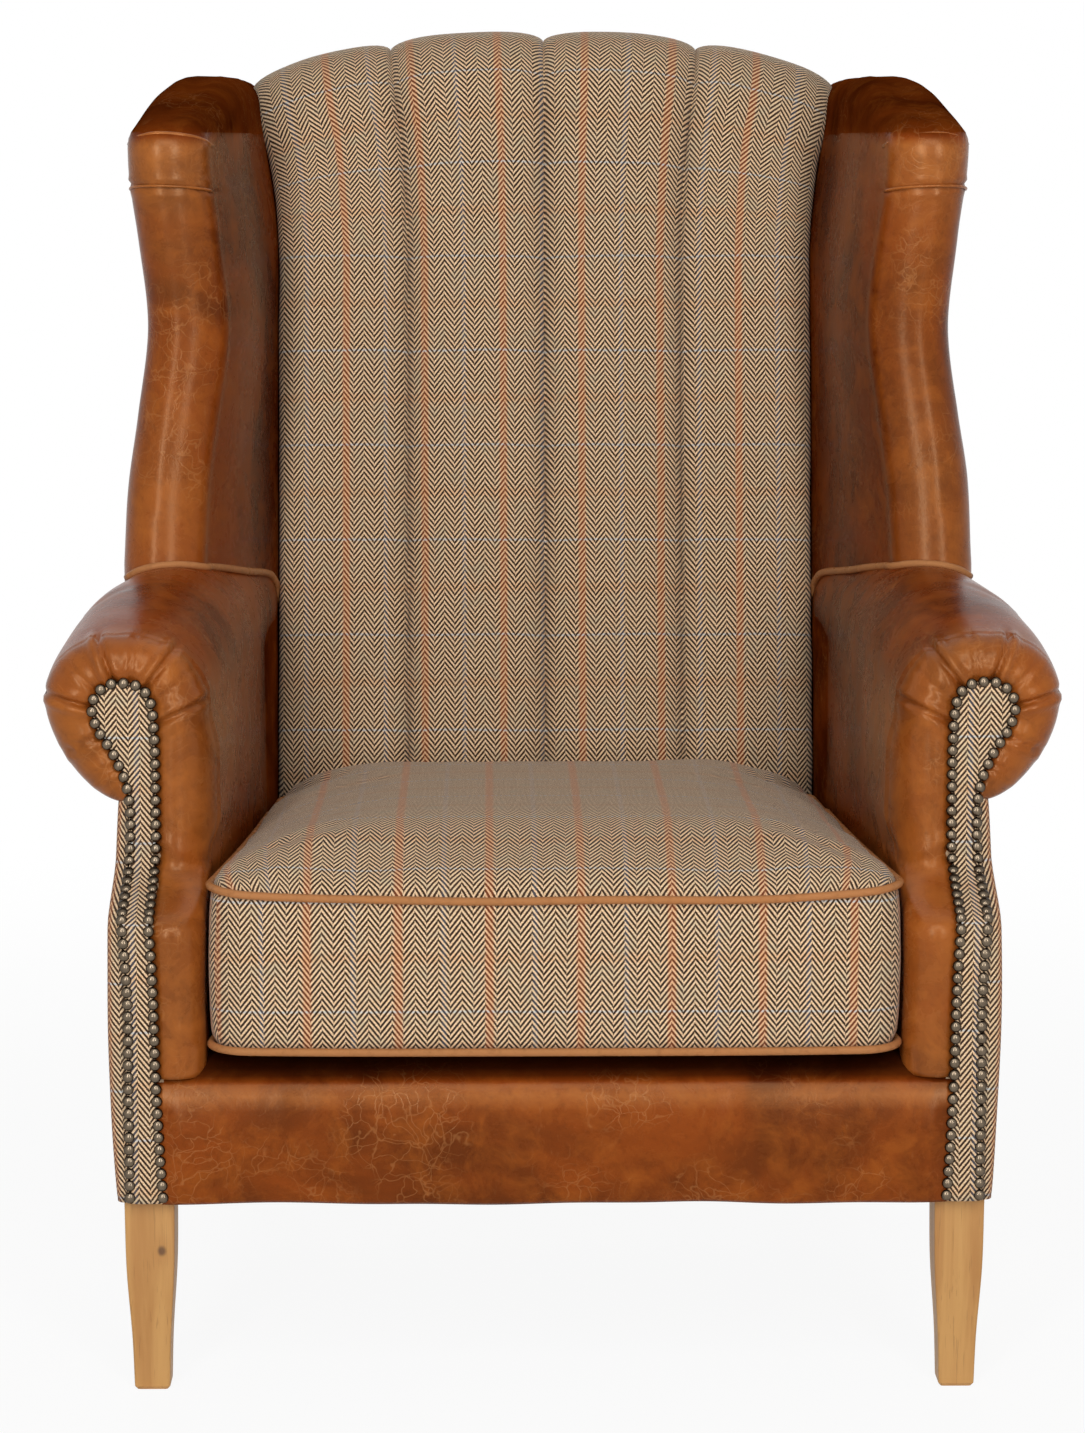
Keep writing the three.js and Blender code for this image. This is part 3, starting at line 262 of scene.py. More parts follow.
def ramp(tree, value, low, high):
    made = add(tree, "MapRange", {"Value": value, "From Min": low, "From Max": high}, interpolation_type="SMOOTHSTEP")
    return made.outputs["Result"]


def cloud(tree, where, scale, detail=3.0, roughness=0.55, distortion=0.0):
    sockets = {"Vector": where, "Scale": scale, "Detail": detail, "Roughness": roughness, "Distortion": distortion}
    return add(tree, "TexNoise", sockets).outputs["Fac"]


def place_of(tree):
    return add(tree, "TexCoord").outputs["Object"]


def stretched(tree, where, scale):
    return add(tree, "Mapping", {"Vector": where, "Scale": scale}).outputs[0]


def raise_surface(tree, surface, height, distance, strength=1.0):
    bump = add(tree, "Bump", {"Height": height, "Distance": distance, "Strength": strength})
    tree.links.new(bump.outputs[0], surface.inputs["Normal"])


# %% [markdown]
# The tweed is a herringbone: light and dark yarns climb in slanting rows that turn back every
# few millimetres. A ping-pong of the across coordinate makes the zigzag, and a second one turns
# the slope into yarns. Rust lines cross it in a wide check, with faint pale blue ones between.
# %% Herringbone tweed
STRIPE = 0.0094
ROW = 0.0054
SLANT = 1.27
CHECK_ACROSS = 0.0735
CHECK_UP = 0.089


def tweed(name, rust_across, rust_up):
    made, tree, surface = new_finish(name, 0.92, Sheen_Weight=0.12, Sheen_Roughness=0.5)
    surface.inputs["Specular IOR Level"].default_value = 0.25
    lie = add(tree, "UVMap", uv_map="cloth").outputs[0]
    hand = cloud(tree, lie, 14.0, 2.0)
    split = add(tree, "SeparateXYZ", {0: lie})
    u = calc(tree, "ADD", split.outputs[0], calc(tree, "MULTIPLY", hand, 0.0012))
    v = calc(tree, "ADD", split.outputs[1], calc(tree, "MULTIPLY", hand, 0.003))
    zigzag = calc(tree, "MULTIPLY", calc(tree, "PINGPONG", u, STRIPE), SLANT)
    lane = calc(tree, "FLOORED_MODULO", calc(tree, "FLOOR", calc(tree, "DIVIDE", u, STRIPE)), 2.0)
    slope = calc(tree, "ADD", calc(tree, "ADD", v, zigzag), calc(tree, "MULTIPLY", lane, ROW * 0.3))
    yarn = calc(tree, "DIVIDE", calc(tree, "PINGPONG", slope, ROW / 2), ROW / 2)
    fleck = cloud(tree, lie, 950.0, 1.0)
    light = ramp(tree, calc(tree, "MULTIPLY_ADD", fleck, 0.34, yarn), 0.59, 0.81)
    shade = calc(tree, "SUBTRACT", 1.0, light)
    patch = cloud(tree, lie, 55.0, 3.0)
    pale = mix(tree, ramp(tree, fleck, 0.35, 0.7), (0.65, 0.43, 0.235, 1), (0.93, 0.69, 0.455, 1))
    dark = mix(tree, ramp(tree, patch, 0.35, 0.7), (0.036, 0.016, 0.007, 1), (0.072, 0.040, 0.023, 1))
    pale = mix(tree, ramp(tree, patch, 0.50, 0.72), pale, (0.68, 0.53, 0.34, 1))
    colour = mix(tree, light, dark, pale)
    # along, the yarns it dyes, where it starts, period, half width, strength, colour
    lines = [
        (u, shade, rust_across, CHECK_ACROSS, 0.0040, 0.75, (0.230, 0.058, 0.018, 1)),
        (u, light, rust_across, CHECK_ACROSS, 0.0034, 0.42, (0.70, 0.300, 0.120, 1)),
        (v, light, rust_up, CHECK_UP, 0.0045, 0.22, (0.72, 0.320, 0.110, 1)),
        (u, shade, rust_across + CHECK_ACROSS / 2, CHECK_ACROSS, 0.0022, 0.40, (0.090, 0.115, 0.170, 1)),
        (v, light, rust_up + CHECK_UP / 2, CHECK_UP, 0.0011, 0.62, (0.52, 0.60, 0.66, 1)),
    ]
    for along, dyed, start, period, half, strength, tint in lines:
        away = calc(tree, "PINGPONG", calc(tree, "SUBTRACT", along, start), period / 2)
        line = calc(tree, "SUBTRACT", 1.0, ramp(tree, away, half * 0.55, half * 1.2))
        share = calc(tree, "MULTIPLY", line, calc(tree, "MULTIPLY", dyed, strength))
        colour = mix(tree, share, colour, tint)
    tree.links.new(colour, surface.inputs["Base Color"])
    height = calc(tree, "ADD", yarn, calc(tree, "MULTIPLY", fleck, 0.6))
    raise_surface(tree, surface, height, 0.0004, 0.8)
    return made


tweed_back = tweed("herringbone_back", rust_across=0.035, rust_up=0.788)
tweed_cushion = tweed("herringbone_cushion", rust_across=0.021, rust_up=0.368)
tweed_sides = tweed("herringbone_sides", rust_across=0.020, rust_up=0.300)
tweed_facing = tweed("herringbone_facing", rust_across=0.305, rust_up=0.010)
print("tweed stripes", round(STRIPE / MM, 1), "mm wide, check", round(CHECK_ACROSS / MM, 1), "mm")

# %% [markdown]
# The leather is an oiled cognac hide. Its colour wanders from deep brown to tan in soft clouds,
# fine pale veins and scuffs run over it, and the places that hands and seams rub turn orange.
# A painted attribute says where that wear is. It also carries painted light and shade: a painted
# lit patch on the front of each inside arm, painted highlights on the border's top roll and the
# wing cap seams, and painted shade, with the shine taken away, under the cushion, on the wing
# tops and deep inside the arms and wings. The grain and creases are raised with bump.
# %% Worn cognac leather
def veins_in(tree, where, scale, width):
    cell = add(tree, "TexVoronoi", {"Vector": where, "Scale": scale}, feature="DISTANCE_TO_EDGE")
    return calc(tree, "SUBTRACT", 1.0, ramp(tree, cell.outputs["Distance"], 0.0, width))


def leather(name, tone=0.0, lit=(0.420, 0.132, 0.0230, 1)):
    made, tree, surface = new_finish(name, 0.3)
    surface.inputs["IOR"].default_value = 1.42
    surface.inputs["Specular Tint"].default_value = (1.0, 0.66, 0.38, 1)
    where = place_of(tree)
    drift = add(tree, "TexNoise", {"Vector": where, "Scale": 26.0, "Detail": 3.0}).outputs["Color"]
    sway = add(tree, "VectorMath", {0: drift, "Scale": 0.05}, operation="SCALE").outputs[0]
    bent = add(tree, "VectorMath", {0: where, 1: sway}, operation="ADD").outputs[0]
    clouds = cloud(tree, where, 5.5, 4.0, 0.6, 0.8)
    mottle = cloud(tree, where, 30.0, 5.0, 0.66, 0.5)
    fine = cloud(tree, where, 150.0, 3.0, 0.6)
    brown = mix(tree, ramp(tree, clouds, 0.36, 0.64), (0.094, 0.0145, 0.0016, 1), (0.235, 0.043, 0.0045, 1))
    tan = mix(tree, calc(tree, "MULTIPLY", ramp(tree, mottle, 0.44, 0.70), 0.50), brown, (0.330, 0.080, 0.0095, 1))
    # The attribute's positive part is rubbed wear plus painted light: it lightens the hide towards the lit colour and
    # raises the specular level.
    wear_and_painted_light_fac = add(tree, "Attribute", attribute_name="wear_and_painted_light").outputs["Fac"]
    tree.links.new(calc(tree, "MULTIPLY_ADD", wear_and_painted_light_fac, 0.70, 0.17, clamp=True), surface.inputs["Specular IOR Level"])
    brightened = calc(tree, "MULTIPLY", wear_and_painted_light_fac, calc(tree, "MULTIPLY_ADD", mottle, 1.5, 0.05), clamp=True)
    hide = mix(tree, calc(tree, "ADD", brightened, tone, clamp=True), tan, lit)
    hide = mix(tree, calc(tree, "MULTIPLY", ramp(tree, fine, 0.50, 0.75), 0.22), hide, (0.070, 0.014, 0.002, 1))
    some = ramp(tree, cloud(tree, where, 12.0, 3.0), 0.46, 0.62)
    web = calc(tree, "ADD", veins_in(tree, bent, 24.0, 0.018), veins_in(tree, bent, 61.0, 0.040), clamp=True)
    veins = calc(tree, "MULTIPLY", web, some)
    scuff = ramp(tree, cloud(tree, stretched(tree, where, (1.0, 1.0, 0.35)), 90.0, 5.0, 0.7), 0.62, 0.76)
    pale = calc(tree, "MULTIPLY_ADD", veins, 0.26, calc(tree, "MULTIPLY", scuff, 0.20), clamp=True)
    hide = mix(tree, pale, hide, (0.50, 0.210, 0.070, 1))
    # Below zero the attribute is painted shade: the hide goes towards near black where shade falls.
    painted_shade = calc(tree, "MULTIPLY", wear_and_painted_light_fac, -1.0, clamp=True)
    hide = mix(tree, painted_shade, hide, (0.016, 0.0035, 0.0010, 1))
    tree.links.new(hide, surface.inputs["Base Color"])
    tree.links.new(calc(tree, "MULTIPLY_ADD", mottle, 0.26, 0.15), surface.inputs["Roughness"])
    grain = add(tree, "TexVoronoi", {"Vector": where, "Scale": 520.0}, feature="SMOOTH_F1").outputs["Distance"]
    fold = cloud(tree, where, 75.0, 3.0, 0.6, 1.4)
    height = calc(tree, "MULTIPLY_ADD", grain, 0.14, calc(tree, "MULTIPLY", fold, 0.55))
    height = calc(tree, "SUBTRACT", height, calc(tree, "MULTIPLY", veins, 0.25))
    raise_surface(tree, surface, height, 0.0006, 0.5)
    return made


cognac = leather("cognac_leather")
cognac_tan = leather("cognac_leather_tan", tone=0.75, lit=(0.520, 0.235, 0.090, 1))

# %% [markdown]
# Oak legs carry a straight grain that runs down each leg, with short dark pores and one small
# knot. The hidden parts of the frame get plain but honest finishes of their own: beech, foam,
# jute webbing, spring wire and black lining cloth.
# %% Wood, metal and the hidden stuffs
def wood(name, pale, dark, knot=None):
    made, tree, surface = new_finish(name, 0.5)
    where = place_of(tree)
    streak = cloud(tree, stretched(tree, where, (55.0, 55.0, 2.6)), 1.0, 4.0, 0.6, 0.4)
    pore = ramp(tree, cloud(tree, stretched(tree, where, (620.0, 620.0, 22.0)), 1.0, 2.0), 0.60, 0.70)
    colour = mix(tree, ramp(tree, streak, 0.38, 0.68), pale, dark)
    colour = mix(tree, calc(tree, "MULTIPLY", pore, 0.35), colour, tuple(c * 0.55 for c in dark[:3]) + (1,))
    if knot:
        squeezed = stretched(tree, where, (1.0, 0.25, 0.8))
        heart = add(tree, "VectorMath", {0: squeezed}, operation="DISTANCE")
        heart.inputs[1].default_value = (knot[0], knot[1] * 0.25, knot[2] * 0.8)
        swirl = calc(tree, "ADD", heart.outputs["Value"], calc(tree, "MULTIPLY", streak, 0.0025))
        core = calc(tree, "SUBTRACT", 1.0, ramp(tree, swirl, 0.0028, 0.0062))
        halo = calc(tree, "SUBTRACT", 1.0, ramp(tree, swirl, 0.005, 0.016))
        colour = mix(tree, calc(tree, "MULTIPLY", halo, 0.35), colour, dark)
        colour = mix(tree, calc(tree, "MULTIPLY", core, 0.85), colour, (0.09, 0.035, 0.012, 1))
    tree.links.new(colour, surface.inputs["Base Color"])
    raise_surface(tree, surface, calc(tree, "SUBTRACT", streak, pore), 0.0002, 0.5)
    return made


def plain_stuff(name, pale, dark, scale, stretch=(1.0, 1.0, 1.0), roughness=0.9, lift=0.0005, **constants):
    made, tree, surface = new_finish(name, roughness, **constants)
    where = stretched(tree, place_of(tree), stretch)
    grain = cloud(tree, where, scale, 4.0)
    tree.links.new(mix(tree, ramp(tree, grain, 0.35, 0.65), dark, pale), surface.inputs["Base Color"])
    raise_surface(tree, surface, grain, lift, 0.6)
    return made


OAK_PALE, OAK_DARK = (0.57, 0.300, 0.092, 1), (0.44, 0.200, 0.052, 1)
oak = wood("pale_oak", OAK_PALE, OAK_DARK)
oak_knotted = wood("pale_oak_knotted", OAK_PALE, OAK_DARK, knot=(-0.3215, -0.385, 0.119))
beech = wood("raw_beech", (0.60, 0.42, 0.25, 1), (0.50, 0.33, 0.19, 1))
foam = plain_stuff("wadding", (0.82, 0.78, 0.62, 1), (0.70, 0.64, 0.48, 1), 180.0, lift=0.001)
jute = plain_stuff("jute_webbing", (0.46, 0.34, 0.18, 1), (0.28, 0.19, 0.09, 1), 260.0, (1.0, 1.0, 3.0))
lining = plain_stuff("black_lining", (0.030, 0.028, 0.026, 1), (0.012, 0.011, 0.010, 1), 900.0)
wire = plain_stuff("spring_wire", (0.42, 0.42, 0.43, 1), (0.25, 0.25, 0.26, 1), 60.0, roughness=0.35, Metallic=1.0)


def antique_brass():
    made, tree, surface = new_finish("antique_brass", 0.34, Metallic=1.0)
    age = cloud(tree, place_of(tree), 420.0, 3.0)
    wear_and_painted_light_fac = add(tree, "Attribute", attribute_name="wear_and_painted_light").outputs["Fac"]
    bright = calc(tree, "MULTIPLY", wear_and_painted_light_fac, calc(tree, "MULTIPLY_ADD", age, 0.9, 0.5), clamp=True)
    colour = mix(tree, bright, (0.024, 0.018, 0.012, 1), (0.215, 0.165, 0.115, 1))
    tree.links.new(colour, surface.inputs["Base Color"])
    tree.links.new(calc(tree, "MULTIPLY_ADD", age, 0.2, 0.16), surface.inputs["Roughness"])
    return made


brass = antique_brass()
print("finishes:", ", ".join(made.name for made in (oak, beech, foam, jute, lining, wire, brass)))

# %% [markdown]
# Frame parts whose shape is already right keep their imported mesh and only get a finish. Each
# name is matched by the word in it, so a part added later can't be left bare.
# %% Finishes on the carried-over parts
FINISH_BY_WORD = [
    ("zip_slider", brass), ("zip_tape", lining), ("spring", wire), ("webbing", jute), ("core", foam),
    ("padding", foam), ("cloth", lining), ("deck", lining), ("leg", oak), ("nail", brass),
    ("facing", tweed_facing), ("border", cognac), ("piping", cognac_tan),
    ("rail", beech), ("post", beech), ("board", beech), ("block", beech),
    ("arm_cover", cognac), ("wing_cover", cognac), ("outside", tweed_sides), ("fluted", tweed_back),
    ("cushion_cover", tweed_cushion),
]
for node_name, node_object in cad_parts.items():
    finish = next(f for word, f in FINISH_BY_WORD if word in node_name)
    node_object.data.materials.clear()
    node_object.data.materials.append(finish)
print("frame parts dressed:", len(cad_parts))

# %% [markdown]
# Foam is squeezed by the cover pulled over it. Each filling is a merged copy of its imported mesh,
# drawn in a few millimetres along its normals, so that no pleat or crease cuts down to it.
# %% Squeeze the fillings
SQUEEZED = [
    ("arm_padding_left", "chair", 4.0), ("arm_padding_right", "chair", 4.0),
    ("wing_padding_left", "chair", 4.0), ("wing_padding_right", "chair", 4.0),
    ("cushion_core", "seat_cushion", 7.0),
]
for node_name, body, depth in SQUEEZED:
    filling = bmesh.new()
    filling.from_mesh(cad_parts[node_name].data)
    bmesh.ops.remove_doubles(filling, verts=filling.verts, dist=0.01 * MM)
    filling.normal_update()
    for vert, outward in [(v, v.normal.copy()) for v in filling.verts]:
        vert.co -= outward * depth * MM
    piece(filling, f"{node_name}_squeezed", foam, [node_name], body)

# %% [markdown]
# The arm is one long form that shrinks towards the back. Its section climbs the inside, rounds
# over the top, swells out into the scroll and tucks in underneath. All its measures hang on how
# far back the section stands, from 0 at the front to 1 at the outside back. Near the front the
# inside is stuffed out a little, between the ledge and the scroll.
# %% The arm's section
WING_SHARE = (WING_SET - ARM_SET) / (REAR_SET - ARM_SET)
BACK_SHARE = (BACK_SET - ARM_SET) / (REAR_SET - ARM_SET)
SHARE_START = ARM_FRONT + 18
ARM_INSIDE = 284
ROLL_HALF, ROLL_RISE = 64.0, 62
SCROLL_RISE, SCROLL_TUCK = 54, 81
SCROLL_SQUARE, TUCK_SQUARE = 2.3, 1.65
INNER, OVER, DOWN, UNDER = 64, 34, 34, 26
CROWN_AT, WIDEST_AT, TUCK_AT = INNER + OVER, INNER + OVER + DOWN, INNER + OVER + DOWN + UNDER
FRONT_BULGE = 6.0


def arm_sizes(share):
    climbed = 1 - (1 - min(1.0, share / WING_SHARE)) ** 2
    return {
        "inner": lerp(ARM_INSIDE, 251, min(1.0, share / BACK_SHARE)),
        "outer": lerp(417, 300.3, share**1.475),
        "side": lerp(357, 300, share),
        "top": ARM_TOP + ARM_CLIMB * climbed,
    }


def share_at(y, z):
    return min(1.0, max(0.0, (y - SHARE_START) / (cover_rear(z) - SHARE_START)))


def superellipse(centre, width, height, squareness, count):
    points = []
    for t in steps(count):
        reach = max(0.0, math.cos(t * math.pi / 2)) ** (2 / squareness)
        lift = math.sin(t * math.pi / 2) ** (2 / squareness)
        points.append((centre[0] + width * reach, centre[1] + height * lift))
    return points


def roll_width(at):
    return min(ROLL_HALF, (at["outer"] - at["inner"]) / 2)


def arm_section(share):
    at = arm_sizes(share)
    width = roll_width(at)
    crown_x, widest, shoulder = at["inner"] + width, at["top"] - SCROLL_RISE, at["top"] - ROLL_RISE
    inner = []
    for t in steps(INNER):
        z = lerp(BORDER_TOP - 13, shoulder, t)
        stuffed = ease(z, 432, 470) * (1 - ease(z, 515, shoulder - 2)) * (1 - ease(share, 0.10, 0.36))
        inner.append((at["inner"] - FRONT_BULGE * stuffed, z))
    over = superellipse((crown_x, shoulder), -width, ROLL_RISE, 2, OVER)[1:]
    down = superellipse((crown_x, widest), at["outer"] - crown_x, SCROLL_RISE, SCROLL_SQUARE, DOWN)[::-1][1:]
    under = superellipse((at["side"], widest), at["outer"] - at["side"], -SCROLL_TUCK, TUCK_SQUARE, UNDER)[1:]
    tuck = [(at["side"] - 5, under[-1][1] + 3), (at["side"] - 12, under[-1][1] + 4)]
    return inner + over + down + under + tuck


print("arm section:", len(arm_section(0)), "points, front top", round(arm_sizes(0)["top"]), "mm up")


# %% [markdown]
# The tweed strip up the arm front is narrow at the foot, steps back over a ledge, and swells
# into a rounded head inside the scroll. Its two edges are read from a short table, because the
# leather is pleated in towards them and the nails follow them.
# %% The facing's outline
# height, depth, inner edge, outer edge
FACING = [
    (161.3, FACING_LOW, 318.9, 345.9), (212, FACING_LOW, 321.9, 345.9), (263, FACING_LOW, 324.0, 345.9),
    (323, FACING_LOW, 325.0, 345.4), (356, FACING_LOW, 326.0, 346.9), (391, FACING_LOW, 328.2, 349.6),
    (397, FACING_LOW + 7, 328.0, 350.0), (424, FACING_HIGH - 8, 327.2, 348.4), (433, FACING_HIGH, 327.0, 348.0),
    (449, FACING_HIGH, 326.0, 346.9), (473, FACING_HIGH, 326.0, 346.4), (490, FACING_HIGH, 326.0, 347.9),
    (505, FACING_HIGH, 326.0, 352.0), (523, FACING_HIGH, 326.0, 360.2), (541, FACING_HIGH, 326.5, 371.9),
    (553, FACING_HIGH, 327.3, 376.4), (560, FACING_HIGH, 328.0, 377.0), (567, FACING_HIGH, 329.9, 375.2),
    (573, FACING_HIGH, 333.4, 371.5), (577.6, FACING_HIGH, 338.9, 366.2), (580, FACING_HIGH, 346.9, 359.2),
]


def facing_at(z):
    for low, high in zip(FACING, FACING[1:]):
        if z <= high[0]:
            share = max(0.0, (z - low[0]) / (high[0] - low[0]))
            return [lerp(a, b, share) for a, b in zip(low, high)]
    return list(FACING[-1])


def facing_rows():
    shank = [facing_at(lerp(FACING[0][0], 388, t)) for t in steps(46)]
    ledge = [facing_at(lerp(391, 433, t)) for t in steps(8)]
    swell = [facing_at(lerp(438, 560, t)) for t in steps(26)]
    return shank + ledge + swell + [list(row) for row in FACING if row[0] > 560]


HEAD_FOOT = 449
HEAD_ROWS = [row for row in FACING if row[0] >= HEAD_FOOT]
HEAD = [(inner, z) for z, _, inner, _ in HEAD_ROWS] + [(outer, z) for z, _, _, outer in HEAD_ROWS[::-1]]
HEAD_LENGTHS = lengths_along(HEAD)


def on_head(length):
    return tuple(np.interp(length, HEAD_LENGTHS, [p[k] for p in HEAD]) for k in (0, 1))


HEAD_KEYS = [HEAD_LENGTHS[k] for k in (5, 12, 17, 21)]
print("facing head outline:", round(HEAD_LENGTHS[-1]), "mm")


# %% [markdown]
# The arm's leather is one skin: it runs from the back along the inside, the top and the scroll,
# rounds over the front edge and is pulled in to the facing, where it is pleated under the nails.
# Below the ledge the same skin stands forward as the padded knee.
# %% Leather on the arms
SOFT_DEPTH = 1.5
FRONT_ROWS = 28
ARM_MIDDLE = (335, -60, 440)


def front_plane(z):
    return lerp(KNEE_FRONT, ARM_FRONT, ease(z, LEDGE_LOW - 10, LEDGE_TOP + 2))


def arm_front_goal(j, point):
    """Where the leather at one place of the section meets the facing."""
    z = point[1]
    if j <= INNER:
        if z > HEAD_FOOT:
            return on_head(lerp(HEAD_LENGTHS[0], HEAD_KEYS[0], (z - HEAD_FOOT) / (555 - HEAD_FOOT)))
        return facing_at(z)[2], z
    tuck = HEAD_LENGTHS[-1] - 36
    places = [INNER, CROWN_AT, WIDEST_AT, TUCK_AT]
    return on_head(np.interp(j, places, [*HEAD_KEYS[:3], tuck]))


def arm_rows():
    section = arm_section(0)
    goals = [arm_front_goal(j, p) for j, p in enumerate(section)]
    spans = [math.dist(p, g) for p, g in zip(section, goals)]
    rounds = [
        min(24.0, max(4.0, span * 0.62)) + max(0.0, ARM_INSIDE - x) for (x, _), span in zip(section, spans)
    ]
    soft = [
        ease(z, LEDGE_LOW, LEDGE_TOP + 30) * (1 - ease(j, INNER, INNER + OVER * 0.7))
        for j, (_, z) in enumerate(section)
    ]
    depths = [r * (1 + (SOFT_DEPTH - 1) * share) for r, share in zip(rounds, soft)]
    rows = []
    for t in [s**1.3 for s in steps(104)][::-1]:
        row = []
        for j, (_, z0) in enumerate(section):
            front = (front_plane(z0) if j <= INNER else ARM_FRONT) + depths[j]
            y = lerp(front, cover_rear(z0), t)
            x, z = arm_section(share_at(y, z0))[j]
            row.append((x, y, z))
        rows.append(row)
    for t in steps(FRONT_ROWS)[1:]:
        row = []
        for j, (x0, z0) in enumerate(section):
            goal, span, radius, depth = goals[j], spans[j], rounds[j], depths[j]
            plane = front_plane(z0) if j <= INNER else ARM_FRONT
            turn = min(1.0, t / 0.55) * math.pi / 2
            inward = radius * (1 - math.cos(turn)) + max(0.0, t - 0.55) / 0.45 * (span - radius)
            back = depth * (1 - math.sin(turn))
            sunk = 2.2 * ease(t, 0.82, 1.0) - 2.0 * math.sin(math.pi * ease(t, 0.3, 1.0))
            share = inward / span if span else 0
            row.append((lerp(x0, goal[0], share), plane + back + sunk, lerp(z0, goal[1], share)))
        rows.append(row)
    return rows


# from the facing's edge, to the rim of the roll, depth
PLEATS = [
    ((360, 583), (376, 622), 6.2), ((331, 578), (306, 612), 6.8), ((320, 548), (282, 566), 5.2),
    ((378, 560), (415, 570), 6.2), ((372, 536), (399, 522), 5.4), ((356, 512), (378, 500), 4.2),
    ((345, 586), (343, 615), 1.6), ((374, 574), (400, 598), 1.8), ((322, 566), (296, 590), 1.6),
]


def pleat_arm(bm):
    """Each pleat is a sharp valley from the facing's edge outwards, with a plump ridge beside it."""
    for (x0, z0), (x1, z1), depth in PLEATS:
        bm.normal_update()
        run = Vector((x1 - x0, 0, z1 - z0))
        for vert in bm.verts:
            at = vert.co / MM
            if at.y > ARM_FRONT + 60 or (at.z < 470 and at.x < 330):
                continue
            share = ((at.x - x0) * run.x + (at.z - z0) * run.z) / run.length_squared
            if not -0.2 < share < 1.3:
                continue
            off = ((at.x - x0) * run.z - (at.z - z0) * run.x) / run.length
            fade = (1 - ease(share, 0.75, 1.3)) * (1 - ease(at.y, ARM_FRONT + 14, ARM_FRONT + 50))
            valley = -0.8 * math.exp(-((off / 1.8) ** 2))
            ridge = 0.55 * math.exp(-(((off - 5.5) / 4.0) ** 2)) + 0.2 * math.exp(-(((off + 6.0) / 4.5) ** 2))
            vert.co += vert.normal * (valley + ridge) * depth * fade * MM


# start, end, depth, width
ARM_CREASES = [
    ((327, ARM_FRONT + 2, 437), (288, ARM_FRONT + 26, 430), 2.6, 6),
    ((290, ARM_FRONT + 20, 428), (284, ARM_FRONT + 70, 452), 1.4, 7),
    ((284, -255, 405), (284, -205, 455), 1.3, 5), ((284, -300, 440), (284, -262, 470), 1.0, 5),
    ((284, -318, 335), (284, -270, 380), 1.1, 5), ((284, -345, 330), (284, -320, 372), 1.0, 4),
    ((286, -230, 520), (284, -170, 480), 1.0, 7), ((290, -60, 640), (345, -75, 651), 1.2, 6),
    ((285, -180, 560), (284, -120, 500), 0.8, 8), ((384, -180, 628), (350, -150, 640), 0.9, 7),
]


# Rubbed wear at the knee and on the scroll's front edge, with painted light and painted shade on the inside arm.
def arm_wear_and_painted_light(at):
    knee = (1 - ease(at.y, KNEE_FRONT + 8, KNEE_FRONT + 50)) * (1 - ease(at.z, 400, 440))
    roll = (1 - ease(at.y, ARM_FRONT + 6, ARM_FRONT + 46)) * ease(at.z, 425, 450)
    # painted light: the front stretch of the inside arm is lightened
    inside = 0.5 * (1 - ease(at.y, ARM_FRONT + 30, ARM_FRONT + 230)) * (1 - ease(at.z, 540, 600))
    # painted shade: the inside arm darkens further back, below the top
    deep = 0.3 * ease(at.y, ARM_FRONT + 170, ARM_FRONT + 470) * (1 - ease(at.z, 560, 625))
    return min(1.0, max(0.30 * knee, 0.50 * roll, inside)) - deep


for side_name, side in SIDES.items():
    skin, _ = cover_from(arm_rows())
    turn_outward(skin, ARM_MIDDLE)
    pleat_arm(skin)
    for line in ARM_CREASES:
        crease(skin, *line)
    ripple(skin, 1.1, 17.0, 3.0 + side)
    piece(skin, f"arm_leather_{side_name}", cognac, [f"arm_cover_{side_name}"], side=side,
          middle=ARM_MIDDLE, thick=1.6, wear_and_painted_light=arm_wear_and_painted_light)

# %% [markdown]
# The outside arm is one tweed panel. It starts under the nails of the facing, turns the front
# corner, and runs back to the outside back with a slight fullness from the padding behind it.
# %% Tweed on the outside arms
UNDER_SCROLL = SCROLL_RISE + SCROLL_TUCK - 4
CORNER_ROUND = 7


def outside_arm_rows():
    rows = []
    for w in steps(36):
        z0 = lerp(LEG_TOP + 0.5, ARM_TOP - UNDER_SCROLL, w)
        plane = front_plane(z0 - 4) - 0.6
        edge = facing_at(z0)[3] - 2
        bulge = 6 * math.sin(math.pi * w) ** 0.8
        corner_x = 357 + bulge
        row = [(lerp(edge, corner_x - CORNER_ROUND, t), plane, z0) for t in steps(3)]
        for t in steps(5)[1:]:
            turn = t * math.pi / 2
            row.append((corner_x - CORNER_ROUND * (1 - math.sin(turn)), plane + 9 * (1 - math.cos(turn)), z0))
        for t in steps(44)[1:]:
            y = lerp(plane + 9, outside_y(z0) - 1.5, t)
            share = share_at(y, z0)
            at = arm_sizes(share)
            z = lerp(LEG_TOP + 0.5, at["top"] - UNDER_SCROLL, w)
            row.append((at["side"] + bulge * (1 - share * 0.7) + 0.4, y, z))
        rows.append(row)
    return rows


def lie_of_rows(rows, u_start=0.0):
    """Cloth coordinates by distance along a row, and by height up the panel."""
    lengths = lengths_along(rows[len(rows) // 2], u_start)
    return lambda i, j: (lengths[j] * MM, rows[i][j][2] * MM)


for side_name, side in SIDES.items():
    rows = outside_arm_rows()
    panel, _ = cover_from(rows, lie_of_rows(rows))
    ripple(panel, 0.7, 12.0, 9.0 + side)
    piece(panel, f"outside_arm_tweed_{side_name}", tweed_sides, [f"outside_arm_{side_name}"], side=side,
          middle=(200, -60, 330), thick=1.6)

